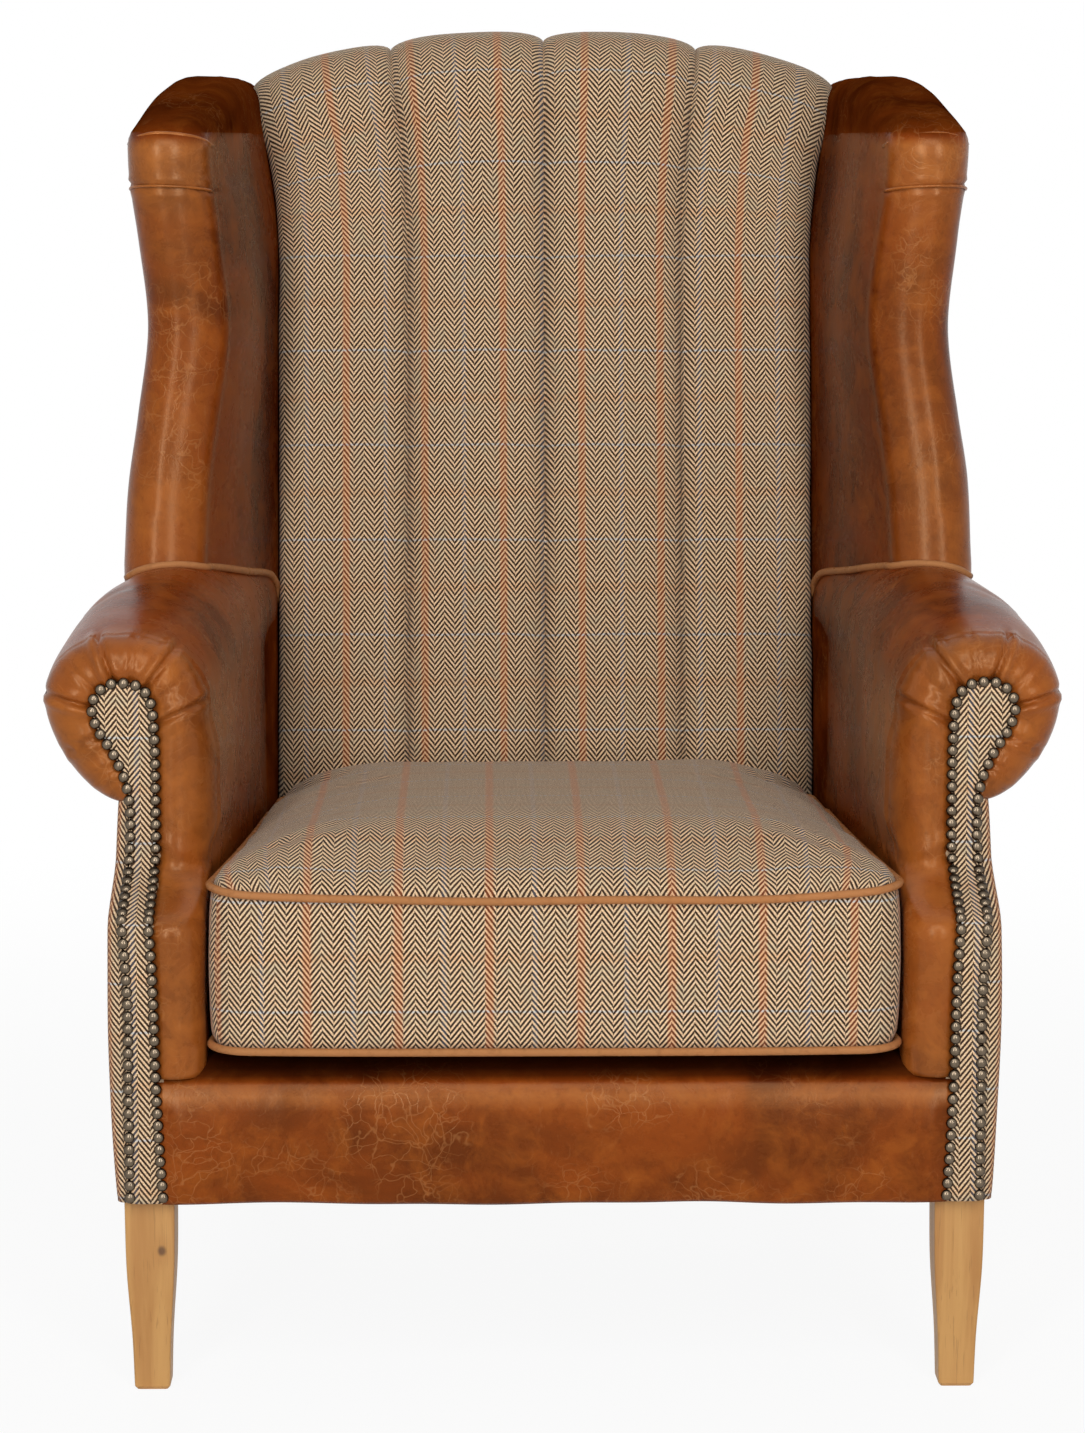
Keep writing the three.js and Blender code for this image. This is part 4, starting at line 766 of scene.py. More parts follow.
# %% [markdown]
# The facing itself is a padded strip of the same tweed. Each row runs across it with a slight
# crown, and its two edges turn back against the arm, where the nails hold them.
# %% Tweed facings
def facing_sections():
    rows = []
    for z, y, inner, outer in facing_rows():
        half = (outer - inner) / 2
        row = [(inner, y + 2.4, z)]
        for t in steps(8):
            crown = 1.6 * math.sin(math.pi * t) ** 0.7 if half > 8 else 0.6
            row.append((lerp(inner, outer, t), y - crown, z))
        row.append((outer, y + 2.4, z))
        rows.append(row)
    return rows


def facing_lie(rows):
    climbed = lengths_along([row[5] for row in rows])
    return lambda i, j: (rows[i][j][0] * MM, climbed[i] * MM)


for side_name, side in SIDES.items():
    rows = facing_sections()
    strip, _ = cover_from(rows, facing_lie(rows))
    piece(strip, f"facing_tweed_{side_name}", tweed_facing, [f"arm_facing_{side_name}"], side=side,
          middle=(337, -200, 370), thick=0.9)

# %% [markdown]
# Every nail is a dome of pressed brass, dark in its groove and rubbed bright on its crown. One
# dome is made as half a sphere with a thin rim, then copied head to head along the facing's
# outline, up one edge, round the head and down the other.
# %% Nails
NAIL_PITCH = 10.0
NAIL_RADIUS, NAIL_FLATNESS, NAIL_RIM = 4.75, 0.62, 0.7


def nail_route():
    rows = facing_rows()
    outer_edge = [Vector((outer, y - 0.5, z)) for z, y, _, outer in rows]
    inner_edge = [Vector((inner, y - 0.5, z)) for z, y, inner, _ in rows[::-1]]
    return outer_edge + inner_edge


def spots_along(route, pitch, inset):
    lengths = lengths_along(route)
    count = round((lengths[-1] - 2 * inset) / pitch)
    for k in range(count + 1):
        want = lerp(inset, lengths[-1] - inset, k / count)
        yield Vector([np.interp(want, lengths, [p[axis] for p in route]) for axis in range(3)])


for side_name, side in SIDES.items():
    nails = bmesh.new()
    for spot in spots_along(nail_route(), NAIL_PITCH, 5.0):
        on_ledge = LEDGE_LOW + 2 < spot.z < LEDGE_TOP - 2
        tilt = Matrix.Rotation(math.radians(32 if on_ledge else 90), 4, "X")
        head = bmesh.ops.create_uvsphere(nails, u_segments=12, v_segments=8, radius=NAIL_RADIUS * MM)["verts"]
        bmesh.ops.delete(nails, geom=[v for v in head if v.co.z < -0.001 * MM], context="VERTS")
        head = [v for v in head if v.is_valid]
        bmesh.ops.scale(nails, vec=(1, 1, NAIL_FLATNESS), verts=head)
        rim = [e for e in {e for v in head for e in v.link_edges} if e.is_boundary]
        lip = bmesh.ops.extrude_edge_only(nails, edges=rim)["geom"]
        lip_verts = [g for g in lip if isinstance(g, bmesh.types.BMVert)]
        bmesh.ops.translate(nails, vec=(0, 0, -NAIL_RIM * MM), verts=lip_verts)
        whole = list(set(head + lip_verts))
        bmesh.ops.holes_fill(nails, edges=[e for e in {e for v in lip_verts for e in v.link_edges} if e.is_boundary])
        bmesh.ops.transform(nails, matrix=Matrix.Translation(spot * MM) @ tilt, verts=whole)
    row = piece(nails, f"nails_{side_name}", brass, [f"nail_row_{side_name}"], side=side).data
    brightened = row.attributes.new("wear_and_painted_light", "FLOAT", "POINT")
    brightened.data.foreach_set("value", [max(0.0, -v.normal.y - 0.45) * 1.5 for v in row.vertices])

# %% [markdown]
# The border is leather over the padded front rail, under the cushion. It bows out a little,
# rounds on to the deck, and shows pale stretch marks where the hide was pulled down.
# %% Leather border
# setback, height
BORDER_PROFILE = [
    (3.0, 160.6), (1.4, 163.0), (0.4, 168), (-0.8, 185), (-1.6, 205), (-1.4, 222), (0.2, 238), (3.0, 250),
    (7.0, 258.5), (12.5, 264.8), (20, 269.6), (31, 274.0), (45, 276.6), (62, 276.6), (62, 268),
]
BORDER_END, END_SETBACK = 324, 3.6
BORDER_MIDDLE = (0, -340, 200)


def border_sections():
    rows = []
    for t in steps(96):
        x = lerp(-BORDER_END, BORDER_END, t)
        end = ease(abs(x), 308, 321)
        sag = 0.8 * math.sin(x * 0.021) + 0.5 * math.sin(x * 0.053 + 1)
        row = []
        for back, z in BORDER_PROFILE:
            set_back = max(back, back * (1 - end) + END_SETBACK * end)
            row.append((x * (facing_at(z)[2] + 1.0) / BORDER_END, FRONT + set_back, z + (sag if z < 170 else 0)))
        rows.append(row)
    return rows


# Lighter and glossier towards the top roll: rubbed wear plus a painted highlight. Higher up, under the cushion's
# overhang, painted shade turns the hide near black and takes away its shine.
def border_wear_and_painted_light(at):
    return 0.40 * ease(at.z, 238, 250) + 0.12 - 1.4 * ease(at.z, 254, 268)


border, _ = cover_from(border_sections())
turn_outward(border, BORDER_MIDDLE)
for x, lean in [(-95, 14), (-30, -8), (42, 10), (150, -16), (-210, 12)]:
    crease(border, (x, FRONT, 262), (x + lean, FRONT, 205), 0.7, 6)
ripple(border, 1.0, 15.0, 5.0)
piece(border, "border_leather", cognac, ["front_border"], middle=BORDER_MIDDLE, thick=1.6,
      wear_and_painted_light=border_wear_and_painted_light)

# %% [markdown]
# A wing is a flat board padded into a thick roll along its front edge. Level sections run round
# it: straight inside face, half circle at the front, straight outside. They narrow to a waist,
# swell into an ear at the top, and round over into a sloping top edge.
# %% The wing's section
WING_ROLL = 59.0
INNER_FULLNESS = 13.0
BEHIND, FACE, ROLL = 6, 34, 24
# share of the wing's height, half width; and share of the height, share of the setback
OUTER_EDGE = [(0, 375), (0.2, 370.3), (0.34, 362.6), (0.54, 353.2), (0.74, 360), (0.9, 367), (1, 367.5)]
SETBACK = [(0, 0), (0.28, 0.6), (0.55, 1), (0.8, 0.6), (1, 0.2)]


def smooth_table(table, place):
    places, values = zip(*table)
    slopes = np.gradient(values, places)
    i = min(len(table) - 2, max(0, int(np.searchsorted(places, place)) - 1))
    width = places[i + 1] - places[i]
    t = min(1.0, max(0.0, (place - places[i]) / width))
    rise = (1 + 2 * t) * (1 - t) ** 2 * values[i] + t * t * (3 - 2 * t) * values[i + 1]
    return rise + width * (t * (1 - t) ** 2 * slopes[i] - t * t * (1 - t) * slopes[i + 1])


def rear_half(z):
    return 300 + 24 * ease(z, ARM_BACK_TOP, WING_CORNER + WING_CLIMB)


def fan_at(z):
    return ease(z, FAN_START, CREST)


def wing_sizes(z):
    share = min(1.0, max(0.0, (z - ARM_BACK_TOP) / (WING_CORNER - ARM_BACK_TOP)))
    return smooth_table(OUTER_EDGE, share), FRONT + WING_SET + 23 * smooth_table(SETBACK, share)


def wing_top(y):
    share = min(1.0, max(0.0, (y - FRONT - WING_SET - 4) / 255))
    return WING_CORNER - 4 + 49 * math.sin(share * math.pi / 2)


def wing_section(z, trim):
    outer, front = wing_sizes(z)
    radius = WING_ROLL / 2
    trim_here = min(trim, radius - 3)
    centre = (outer - radius, front + radius)
    inner_x = 250 + 23 * fan_at(z) + 0.6 + trim_here
    meet = inside_y(z) + 24
    rear = cover_rear(z) - trim_here
    roll = []
    for t in steps(ROLL):
        turn = math.pi * (1 + t)
        across = radius - trim_here + (INNER_FULLNESS if t < 0.5 else 0)
        roll.append((centre[0] + across * math.cos(turn), centre[1] + (radius - trim_here) * math.sin(turn)))
    face = []
    for t in steps(FACE)[:-1]:
        fullness = 11 * t * math.sin(math.pi * t)
        face.append((lerp(inner_x, roll[0][0], t) - fullness, lerp(meet, roll[0][1], t)))
    behind = [(inner_x, lerp(rear, meet, t)) for t in steps(BEHIND)[:-1]]
    outside = [(lerp(roll[-1][0], rear_half(z) - trim_here, t), lerp(roll[-1][1], rear, t)) for t in steps(27)[1:]]
    return behind + face + roll + outside


WING_FOOT = 592.0
WING_ROUND = 24.0
WING_MIDDLE = (320, 150, 850)
print("wing roll", WING_ROLL, "mm, ear corner", round(wing_top(FRONT + WING_SET)), "mm up")


def wing_rows():
    rows = []
    levels = [(s, 0.0, 0.0) for s in steps(100)]
    for t in steps(6)[1:]:
        turn = t * math.pi / 2
        levels.append((1.0, WING_ROUND * math.sin(turn), WING_ROUND * (1 - math.cos(turn))))
    for share, above, trim in levels:
        height = lambda y: lerp(WING_FOOT, wing_top(y) - WING_ROUND, share) + above
        guess = height(FRONT + 500)
        row = []
        for k, (x, y) in enumerate(wing_section(guess, trim)):
            better = wing_section(height(y), trim)[k]
            x, y = wing_section(height(better[1]), trim)[k]
            row.append((x, y, height(y)))
        rows.append(row)
    return rows


# %% [markdown]
# The leather goes right round the wing. Two seams cross the front roll below the ear, where a
# small cap of hide is let in, and long soft pulls run down the inside.
# %% Leather on the wings
# Rubbed wear on the cap and along the front edge. Painted shade darkens the inside face towards the back and the top
# edge, and takes away their shine.
def wing_wear_and_painted_shade(at):
    cap = ease(at.z, 940, 1010) * (1 - ease(at.y, -30, 40))
    edge = 0.45 * (1 - ease(at.y, -62, -20))
    deep = 0.22 * ease(at.y, -20, 190) * (1 - ease(abs(at.x), 300, 325))
    return min(1.0, 0.30 * cap + edge) * (1 - ease(at.z, 1012, 1024)) - max(deep, 0.42 * ease(at.z, 1014, 1034))


def seam_round_roll(bm, height, slope, depth):
    bm.normal_update()
    for vert in bm.verts:
        at = vert.co / MM
        if at.y > 20:
            continue
        off = at.z - (height + slope * (at.x - 340))
        if abs(off) < 12:
            groove = -math.exp(-((off / 1.7) ** 2)) + 0.35 * math.exp(-(((abs(off) - 5) / 2.5) ** 2))
            vert.co += vert.normal * groove * depth * (1 - ease(at.y, -15, 15)) * MM


WING_CREASES = [
    ((300, 40, 800), (325, -20, 870), 1.2, 7), ((290, 80, 690), (318, 0, 740), 1.0, 8),
    ((310, 20, 900), (326, -30, 960), 1.2, 7), ((285, 120, 850), (300, 60, 930), 0.9, 9),
    ((352, -60, 700), (350, -58, 780), 0.8, 6), ((295, 60, 660), (330, -30, 668), 1.4, 6),
]
for side_name, side in SIDES.items():
    skin, rows = cover_from(wing_rows(), closed=True)
    top_row = rows[-1]
    inner_half, outer_half = top_row[:len(top_row) // 2], top_row[len(top_row) // 2:]
    chains = [[skin.edges.get(pair) for pair in zip(half, half[1:])] for half in (inner_half, outer_half)]
    bmesh.ops.bridge_loops(skin, edges=chains[0] + chains[1])
    turn_outward(skin, WING_MIDDLE)
    seam_round_roll(skin, 978, 0.06, 2.6)
    for line in WING_CREASES:
        crease(skin, *line)
    ripple(skin, 0.9, 13.0, 21.0 + side)
    bmesh.ops.holes_fill(skin, edges=[e for e in skin.edges if e.is_boundary])
    piece(skin, f"wing_leather_{side_name}", cognac, [f"wing_cover_{side_name}"], side=side,
          middle=WING_MIDDLE, wear_and_painted_light=wing_wear_and_painted_shade)

# %% [markdown]
# The cap's two seams are thin folded edges of hide: one under the top edge and one across the
# front of the roll. Each is a fine cord, half sunk in the leather.
# %% Seams of the wing caps
CAP_SEAMS = [("upper", (-1, ROLL + 1, WING_CORNER - 8, 11), 2.1), ("lower", (2, ROLL + 2, 979, 5), 1.3)]


def cap_seam(first, last, height, arch):
    points = []
    for k in range(first, last + 1):
        z = height - arch * (2 * (k - first) / (last - first) - 1) ** 2
        y = wing_sizes(z)[1]
        above = min(WING_ROUND, max(0.0, z - (wing_top(y) - WING_ROUND)))
        trim = WING_ROUND - math.sqrt(WING_ROUND**2 - above**2)
        x, y = wing_section(z, trim - 0.7)[BEHIND + FACE + k]
        points.append(Vector((x, y, z)))
    return points


# Both cords are lightened all over: rubbed hide, plus a painted highlight along each welt.
for side_name, side in SIDES.items():
    for place, run, girth in CAP_SEAMS:
        seam = cord_mesh(cap_seam(*run), girth, False, 8)
        piece(seam, f"wing_cap_seam_{place}_{side_name}", cognac, side=side, wear_and_painted_light=lambda at: 0.7)

# %% [markdown]
# The outside of the wing is a flat tweed panel, slipped in behind the leather's turned edge.
# It lies half a millimetre proud of the leather and stops short of the roll and the top.
# %% Tweed on the outside wings
def outside_wing_rows():
    rows = []
    for w in steps(40):
        row = []
        for t in steps(30):
            z = lerp(WING_FOOT + 10, WING_CORNER - 40, w)
            for _ in range(3):
                outer, front = wing_sizes(z)
                start, rear = front + 46, cover_rear(z)
                y = lerp(start, rear, t)
                z = lerp(WING_FOOT + 10, wing_top(y) - WING_ROUND - 20, w)
            edge = front + WING_ROLL / 2
            x = lerp(outer, rear_half(z), (y - edge) / (rear - edge))
            row.append((x + 0.8 + 2.0 * math.sin(math.pi * t) * math.sin(math.pi * w), y, z))
        rows.append(row)
    return rows


for side_name, side in SIDES.items():
    rows = outside_wing_rows()
    panel, _ = cover_from(rows, lie_of_rows(rows, 12.0))
    piece(panel, f"outside_wing_tweed_{side_name}", tweed_sides, [f"outside_wing_{side_name}"], side=side,
          middle=(200, 150, 850), thick=1.6)

# %% [markdown]
# The back is four stuffed channels. Each is an arch between two sewn seams; the seams run
# straight up, fan out near the top, and everything rolls over the top rail to the back. The
# cloth coordinate across stays the same all the way up, so the check fans with the channels.
# %% Fluted back
FLUTE_SEAM, FLUTE_EDGE, FLUTE_DEPTH = 128, 250, 22.0
ROLL_HEIGHT = CREST - ROLL_START
CHANNEL = 20


def channel_edges(z):
    seam = FLUTE_SEAM + 20 * fan_at(z)
    edge = FLUTE_EDGE + 23 * fan_at(z) + 7 * ease(z, 985, 1060)
    return [-edge, -seam, 0.0, seam, edge]


def flute_stations():
    valley = lambda z: inside_y(z) + FLUTE_DEPTH
    lean = Vector((-1, 0.2)).normalized()
    stations = [(z, valley(z), Vector((-1, 0)), 1.0) for z in (lerp(DECK_TOP + 0.3, CROWN, t) for t in steps(10)[:-1])]
    stations += [(z, valley(z), lean, 1.0) for z in (lerp(CROWN, ROLL_START, t) for t in steps(60))]
    half = (cover_rear(ROLL_START) - 0.3 - valley(ROLL_START)) / 2
    for t in steps(26)[1:]:
        turn = math.pi * t
        out = Vector((-math.cos(turn) / half, math.sin(turn) / ROLL_HEIGHT)).normalized()
        fade = lerp(1, 0.45, t * 2) if t < 0.5 else lerp(0.45, 0.3, t * 2 - 1)
        y = valley(ROLL_START) + half * (1 - math.cos(turn)) - ease(t, 0.5, 1) * FLUTE_DEPTH * 0.3
        stations.append((ROLL_START + ROLL_HEIGHT * math.sin(turn), y, out, fade))
    return stations


def crest_drop(x):
    return CREST_RISE * abs(x / 273) ** 2.5


def channel_place(i):
    return (1 - math.cos(math.pi * i / CHANNEL)) / 2


def flute_rows():
    rows = []
    for z, y, out, fade in flute_stations():
        share = ease(z, FAN_START, ROLL_START)
        edges = channel_edges(z - share * CREST_RISE)
        row = []
        for c in range(4):
            for i in range(CHANNEL + (c == 3)):
                t = channel_place(i)
                arch = FLUTE_DEPTH * fade * max(0.0, 1 - abs(2 * t - 1) ** 3.2) ** 0.5
                x = lerp(edges[c], edges[c + 1], t)
                row.append((x, y + out.x * arch, z - share * crest_drop(x) + out.y * arch))
        rows.append(row)
    return rows


rows = flute_rows()
MIDDLE_OF_A_CHANNEL = CHANNEL * 5 // 2
run = lengths_along([row[MIDDLE_OF_A_CHANNEL] for row in rows])
flat_edges = [-FLUTE_EDGE, -FLUTE_SEAM, 0, FLUTE_SEAM, FLUTE_EDGE]
across = [lerp(low, high, channel_place(i)) for low, high in zip(flat_edges, flat_edges[1:]) for i in range(CHANNEL)]
across.append(FLUTE_EDGE)
flutes, _ = cover_from(rows, lambda i, j: (across[j] * MM, (run[i] + DECK_TOP) * MM))
turn_outward(flutes, (0, 230, 800))
ripple(flutes, 1.0, 22.0, 2.0)
piece(flutes, "fluted_back_tweed", tweed_back, ["fluted_back"], middle=(0, 260, 700), thick=2.0)

# %% [markdown]
# Behind, one plain tweed panel closes the frame from the seat rail to the roll. It is
# blind-sewn along both sides, so it ends in a clean edge.
# %% Outside back panel
def outside_back_rows():
    rows = []
    for w in steps(44):
        row = []
        for t in steps(36):
            side = lerp(-1, 1, t)
            top = ROLL_START - crest_drop(side * rear_half(ROLL_START)) - 1.2
            z = lerp(LEG_TOP + 0.3, top, w)
            x = side * (rear_half(z) - 0.3)
            full = 2.2 * (1 - side**4) * math.sin(math.pi * w) ** 0.6 if 0 < w < 1 else 0.0
            row.append((x, outside_y(z) - 1.6 + full, z))
        rows.append(row)
    return rows


rows = outside_back_rows()
back_panel, _ = cover_from(rows, lambda i, j: (rows[i][j][0] * MM, rows[i][j][2] * MM))
piece(back_panel, "outside_back_tweed", tweed_back, ["outside_back"], middle=(0, 0, 600), thick=2.0)

# %% [markdown]
# The seat cushion is a boxed feather-and-foam pad. It starts as a slightly slack closed form:
# rounded corners, sides drawn in between them, a low crown. Then a short cloth simulation blows
# it up from inside while the two welts are held, which gives the crown its own soft shape.
# %% The cushion's form
CUSHION_BASE = DECK_TOP + 0.3
WELT_LOW, WELT_HIGH = 8.0, 130.0
HALF_FRONT, HALF_REAR = 279.3, 245.4
CUSHION_FRONT, CUSHION_REAR, CUSHION_DEPTH = FRONT - 5, FRONT + 508, 509
MIDDLE_Y, HALF_DEPTH = FRONT + 253.5, 254.5
CORNER = 31.0
print("cushion", 2 * HALF_FRONT, "mm wide in front,", 2 * HALF_REAR, "mm behind")


def half_width(y):
    return lerp(HALF_FRONT, HALF_REAR, (y - CUSHION_FRONT) / CUSHION_DEPTH)


def cushion_plan(grow=0.0, fine=9):
    """The outline seen from above, from the front right corner round to the front again."""
    right = []
    reach = CORNER + grow
    for k, (x, y, way) in enumerate([(HALF_FRONT, CUSHION_FRONT, -1), (HALF_REAR, CUSHION_REAR, 1)]):
        for t in steps(fine):
            turn = (t if k else t - 1) * math.pi / 2
            right.append((x - CORNER + reach * math.cos(turn), y - way * CORNER + reach * math.sin(turn)))
        if k == 0:
            for t in steps(20)[1:-1]:
                x = lerp(HALF_FRONT, HALF_REAR, t) - 3.0 * math.sin(math.pi * t) + grow
                right.append((x, lerp(CUSHION_FRONT + CORNER, CUSHION_REAR - CORNER, t)))
    left = [(-x, y) for x, y in right[::-1]]
    rear = [(lerp(right[-1][0], left[0][0], t), right[-1][1]) for t in steps(20)[1:-1]]
    front = [(lerp(left[-1][0], right[0][0], t), right[0][1]) for t in steps(22)[1:-1]]
    return right + rear + left + front


def welt_lift(x, y):
    return 9.0 * (abs(x) / HALF_FRONT) ** 4 * (1.0 if y < 0 else 0.5)


def shrunk(points, share):
    middle_y = (CUSHION_FRONT + CUSHION_REAR) / 2
    return [(x * share, middle_y + (y - middle_y) * share) for x, y in points]


def welt_heights(x, y):
    lift = welt_lift(x, y)
    return CUSHION_BASE + WELT_LOW + 0.2 * lift, CUSHION_BASE + WELT_HIGH + lift


UNDERSIDE = [(0.55, 1.0), (0.8, 0.6), (0.93, 0.6), (0.985, 2.5)]
CROWN_UP = [(1.0, 5), (0.99, 13), (0.96, 23), (0.9, 32), (0.78, 40), (0.6, 45), (0.4, 47)]


def cushion_sections():
    sections = []
    for share, z in UNDERSIDE:
        sections.append([(x, y, CUSHION_BASE + z) for x, y in shrunk(cushion_plan(-2), share)])
    for w in steps(8):
        side = cushion_plan(3.0 * math.sin(math.pi * w))
        sections.append([(x, y, lerp(*welt_heights(x, y), w)) for x, y in side])
    for share, up in CROWN_UP:
        high = CUSHION_BASE + WELT_HIGH + up
        top = shrunk(cushion_plan(), share)
        sections.append([(x, y, high + welt_lift(x, y) * (1 - up / CROWN_UP[-1][1])) for x, y in top])
    return sections


def closed_cushion():
    bm, rows = cover_from(cushion_sections(), closed=True)
    for row in (rows[0], rows[-1]):
        bmesh.ops.edgeloop_fill(bm, edges=[bm.edges.get(pair) for pair in zip(row, row[1:] + row[:1])])
    bmesh.ops.recalc_face_normals(bm, faces=bm.faces)
    return bm


# %% [markdown]
# The simulation runs on an even remesh of that form. The vertices along both welts are pinned,
# no vertex may travel further than the cap, and what comes out is pressed flat again where the
# cushion rests on the deck.
# %% Blow up the cushion
VOXEL = 6.5
CAP = 24.0
LAST_FRAME = 20


def simulated(obj):
    mesh = obj.data
    start = np.empty(len(mesh.vertices) * 3)
    mesh.vertices.foreach_get("co", start)
    pinned = []
    for v in mesh.vertices:
        at = v.co / MM
        low, high = welt_heights(at.x, at.y)
        by_end = at.y < CUSHION_FRONT + 30 or at.y > CUSHION_REAR - 30
        by_edge = by_end or abs(at.x) > 0.9 * half_width(at.y)
        by_welt = min(abs(at.z - low), abs(at.z - high)) < 7
        if (by_edge and by_welt) or at.z < CUSHION_BASE + 4:
            pinned.append(v.index)
    hold = obj.vertex_groups.new(name="welts")
    hold.add(pinned, 1.0, "REPLACE")
    cloth = obj.modifiers.new("filling", "CLOTH")
    tweed_cloth = cloth.settings
    tweed_cloth.vertex_group_mass = "welts"
    tweed_cloth.use_pressure = True
    tweed_cloth.uniform_pressure_force = 4.0
    tweed_cloth.effector_weights.gravity = 0.0
    tweed_cloth.quality = 5
    tweed_cloth.tension_stiffness = tweed_cloth.compression_stiffness = 18
    tweed_cloth.bending_stiffness = 1.2
    cloth.point_cache.frame_start, cloth.point_cache.frame_end = 1, LAST_FRAME
    for frame_number in range(1, LAST_FRAME + 1):
        bpy.context.scene.frame_set(frame_number)
    depsgraph = bpy.context.evaluated_depsgraph_get()
    settled = obj.evaluated_get(depsgraph).data
    end = np.empty_like(start)
    settled.vertices.foreach_get("co", end)
    obj.modifiers.remove(cloth)
    bpy.context.scene.frame_set(1)
    move = (end - start).reshape(-1, 3)
    length = np.linalg.norm(move, axis=1, keepdims=True)
    move *= np.minimum(1.0, CAP * MM / np.maximum(length, 1e-9))
    mesh.vertices.foreach_set("co", (start.reshape(-1, 3) + move).ravel())
    print("cushion swelled by", round(float(length.max() / MM), 1), "mm")


def remeshed(obj, size):
    even = obj.modifiers.new("even", "REMESH")
    even.mode = "VOXEL"
    even.voxel_size = size * MM
    depsgraph = bpy.context.evaluated_depsgraph_get()
    mesh = bpy.data.meshes.new_from_object(obj.evaluated_get(depsgraph))
    obj.modifiers.clear()
    old, obj.data = obj.data, mesh
    bpy.data.meshes.remove(old)


cushion_bm = closed_cushion()
cushion = piece(cushion_bm, "seat_cushion_tweed", tweed_cushion, ["cushion_cover"], body="seat_cushion")
remeshed(cushion, VOXEL)
simulated(cushion)
print("cushion:", len(cushion.data.vertices), "vertices")

# %% [markdown]
# After the simulation the cushion is finished. The bottom is flat on the deck, the rear
# stays inside the room left by the flutes, the crown is held to its height softly, and each welt
# is drawn in to a narrow waist where the piping will sit. The cloth coordinates unfold over the
# rounded edges, so that the stripes run on from the top down to the welt.
# %% Dress the cushion
WELT_REACH, WELT_DRAW = 4.5, 1.5
CROWN_SLACK, CROWN_SOFT = 4, 14
FRONT_LIMIT, REAR_LIMIT, SIDE_LIMIT = FRONT - 11, FRONT + 509, 3.2


def unfolded(x, y, z):
    """Cloth coordinates of the top, let down by half the fall towards the sides and ends."""
    fall = CROWN * MM - z
    sideways = 0.5 * ease(abs(x) / MM, 190, 275) * math.copysign(fall, x)
    endways = 0.5 * ease(abs(y / MM + 143), 150, 245) * math.copysign(fall, y + 0.143)
    return x + sideways, y + endways


def dress_cushion(obj):
    bm = bmesh.new()
    bm.from_mesh(obj.data)
    for _ in range(2):
        bmesh.ops.smooth_vert(bm, verts=bm.verts, factor=0.5, use_axis_x=True, use_axis_y=True, use_axis_z=True)
    bm.normal_update()
    for vert in bm.verts:
        at = vert.co / MM
        low, high = welt_heights(at.x, at.y)
        half = half_width(at.y)
        rim = ease(max(abs(at.x) / half, abs(at.y - MIDDLE_Y) / HALF_DEPTH), 0.90, 0.985)
        groove = max(math.exp(-(((at.z - welt) / WELT_REACH) ** 2)) for welt in (low, high))
        vert.co -= vert.normal * groove * rim * WELT_DRAW * MM
        if at.z > CUSHION_BASE + 12:
            slow = noise.noise(Vector((at.x * 0.011, at.y * 0.011, 4.0)))
            wave = slow * 2.4 + noise.noise(Vector((at.x, at.y, at.z)) * 0.031) * 0.9
            vert.co += vert.normal * wave * (1 - groove) * MM
        vert.co.z = max(vert.co.z, CUSHION_BASE * MM)
        over = max(0.0, vert.co.z / MM - CROWN - CROWN_SLACK)
        vert.co.z -= (over - CROWN_SOFT * math.tanh(over / CROWN_SOFT)) * MM
        vert.co.y = max(min(vert.co.y, REAR_LIMIT * MM), FRONT_LIMIT * MM)
        limit = (half + SIDE_LIMIT) * MM
        vert.co.x = min(limit, max(-limit, vert.co.x))
    layer = bm.loops.layers.uv.get("cloth") or bm.loops.layers.uv.new("cloth")
    for face in bm.faces:
        centre = face.calc_center_median() / MM
        low, high = welt_heights(centre.x, centre.y)
        lying = centre.z > high + 1 or centre.z < low - 1
        on_side = abs(centre.x) / half_width(centre.y) > abs(centre.y - MIDDLE_Y) / HALF_DEPTH
        face.smooth = True
        for loop in face.loops:
            x, y, z = loop.vert.co
            loop[layer].uv = unfolded(x, y, z) if lying else ((y + 0.62, z) if on_side else (x, z))
    bm.to_mesh(obj.data)
    bm.free()


dress_cushion(cushion)
cushion.data.materials.clear()
cushion.data.materials.append(tweed_cushion)
finer = cushion.modifiers.new("finer", "SUBSURF")
finer.levels = finer.render_levels = 1

# %% [markdown]
# Leather piping closes both welts of the cushion. It follows the same plan, a little outside
# the seam, and rises with the front corners.
# %% Piping on the cushion
PIPING = 3.4
for name, which, way in [("top", 1, 1), ("bottom", 0, -1)]:
    route = []
    for x, y in cushion_plan(0.6, fine=12):
        wander = 0.6 * math.sin(x * 0.03) if name == "top" else 0
        route.append(Vector((x, y, welt_heights(x, y)[which] + way * 1.2 + wander)))
    piece(cord_mesh(route, PIPING, True), f"piping_{name}", cognac_tan, [f"cushion_piping_{name}"],
          body="seat_cushion")


# %% [markdown]
# One more piping hides the joint where the wing stands on the arm. It comes up from behind the
# cushion, crosses the arm top round the front of the wing, and ends on the outside.
# %% Piping at the wings' feet
def arm_at(y):
    return arm_sizes(share_at(y, 640))


def arm_surface(x, y, lift):
    """Height of the arm's leather over a spot of the plan."""
    at = arm_at(y)
    width = roll_width(at)
    crown = at["inner"] + width
    if x < crown:
        part = min(1.0, max(0.0, (crown - x) / (width + lift)))
        return at["top"] - ROLL_RISE + (ROLL_RISE + lift) * math.sqrt(1 - part**2)
    part = min(1.0, max(0.0, (x - crown) / (at["outer"] + lift - crown)))
    return at["top"] - SCROLL_RISE + (SCROLL_RISE + lift) * (1 - part**SCROLL_SQUARE) ** (1 / SCROLL_SQUARE)


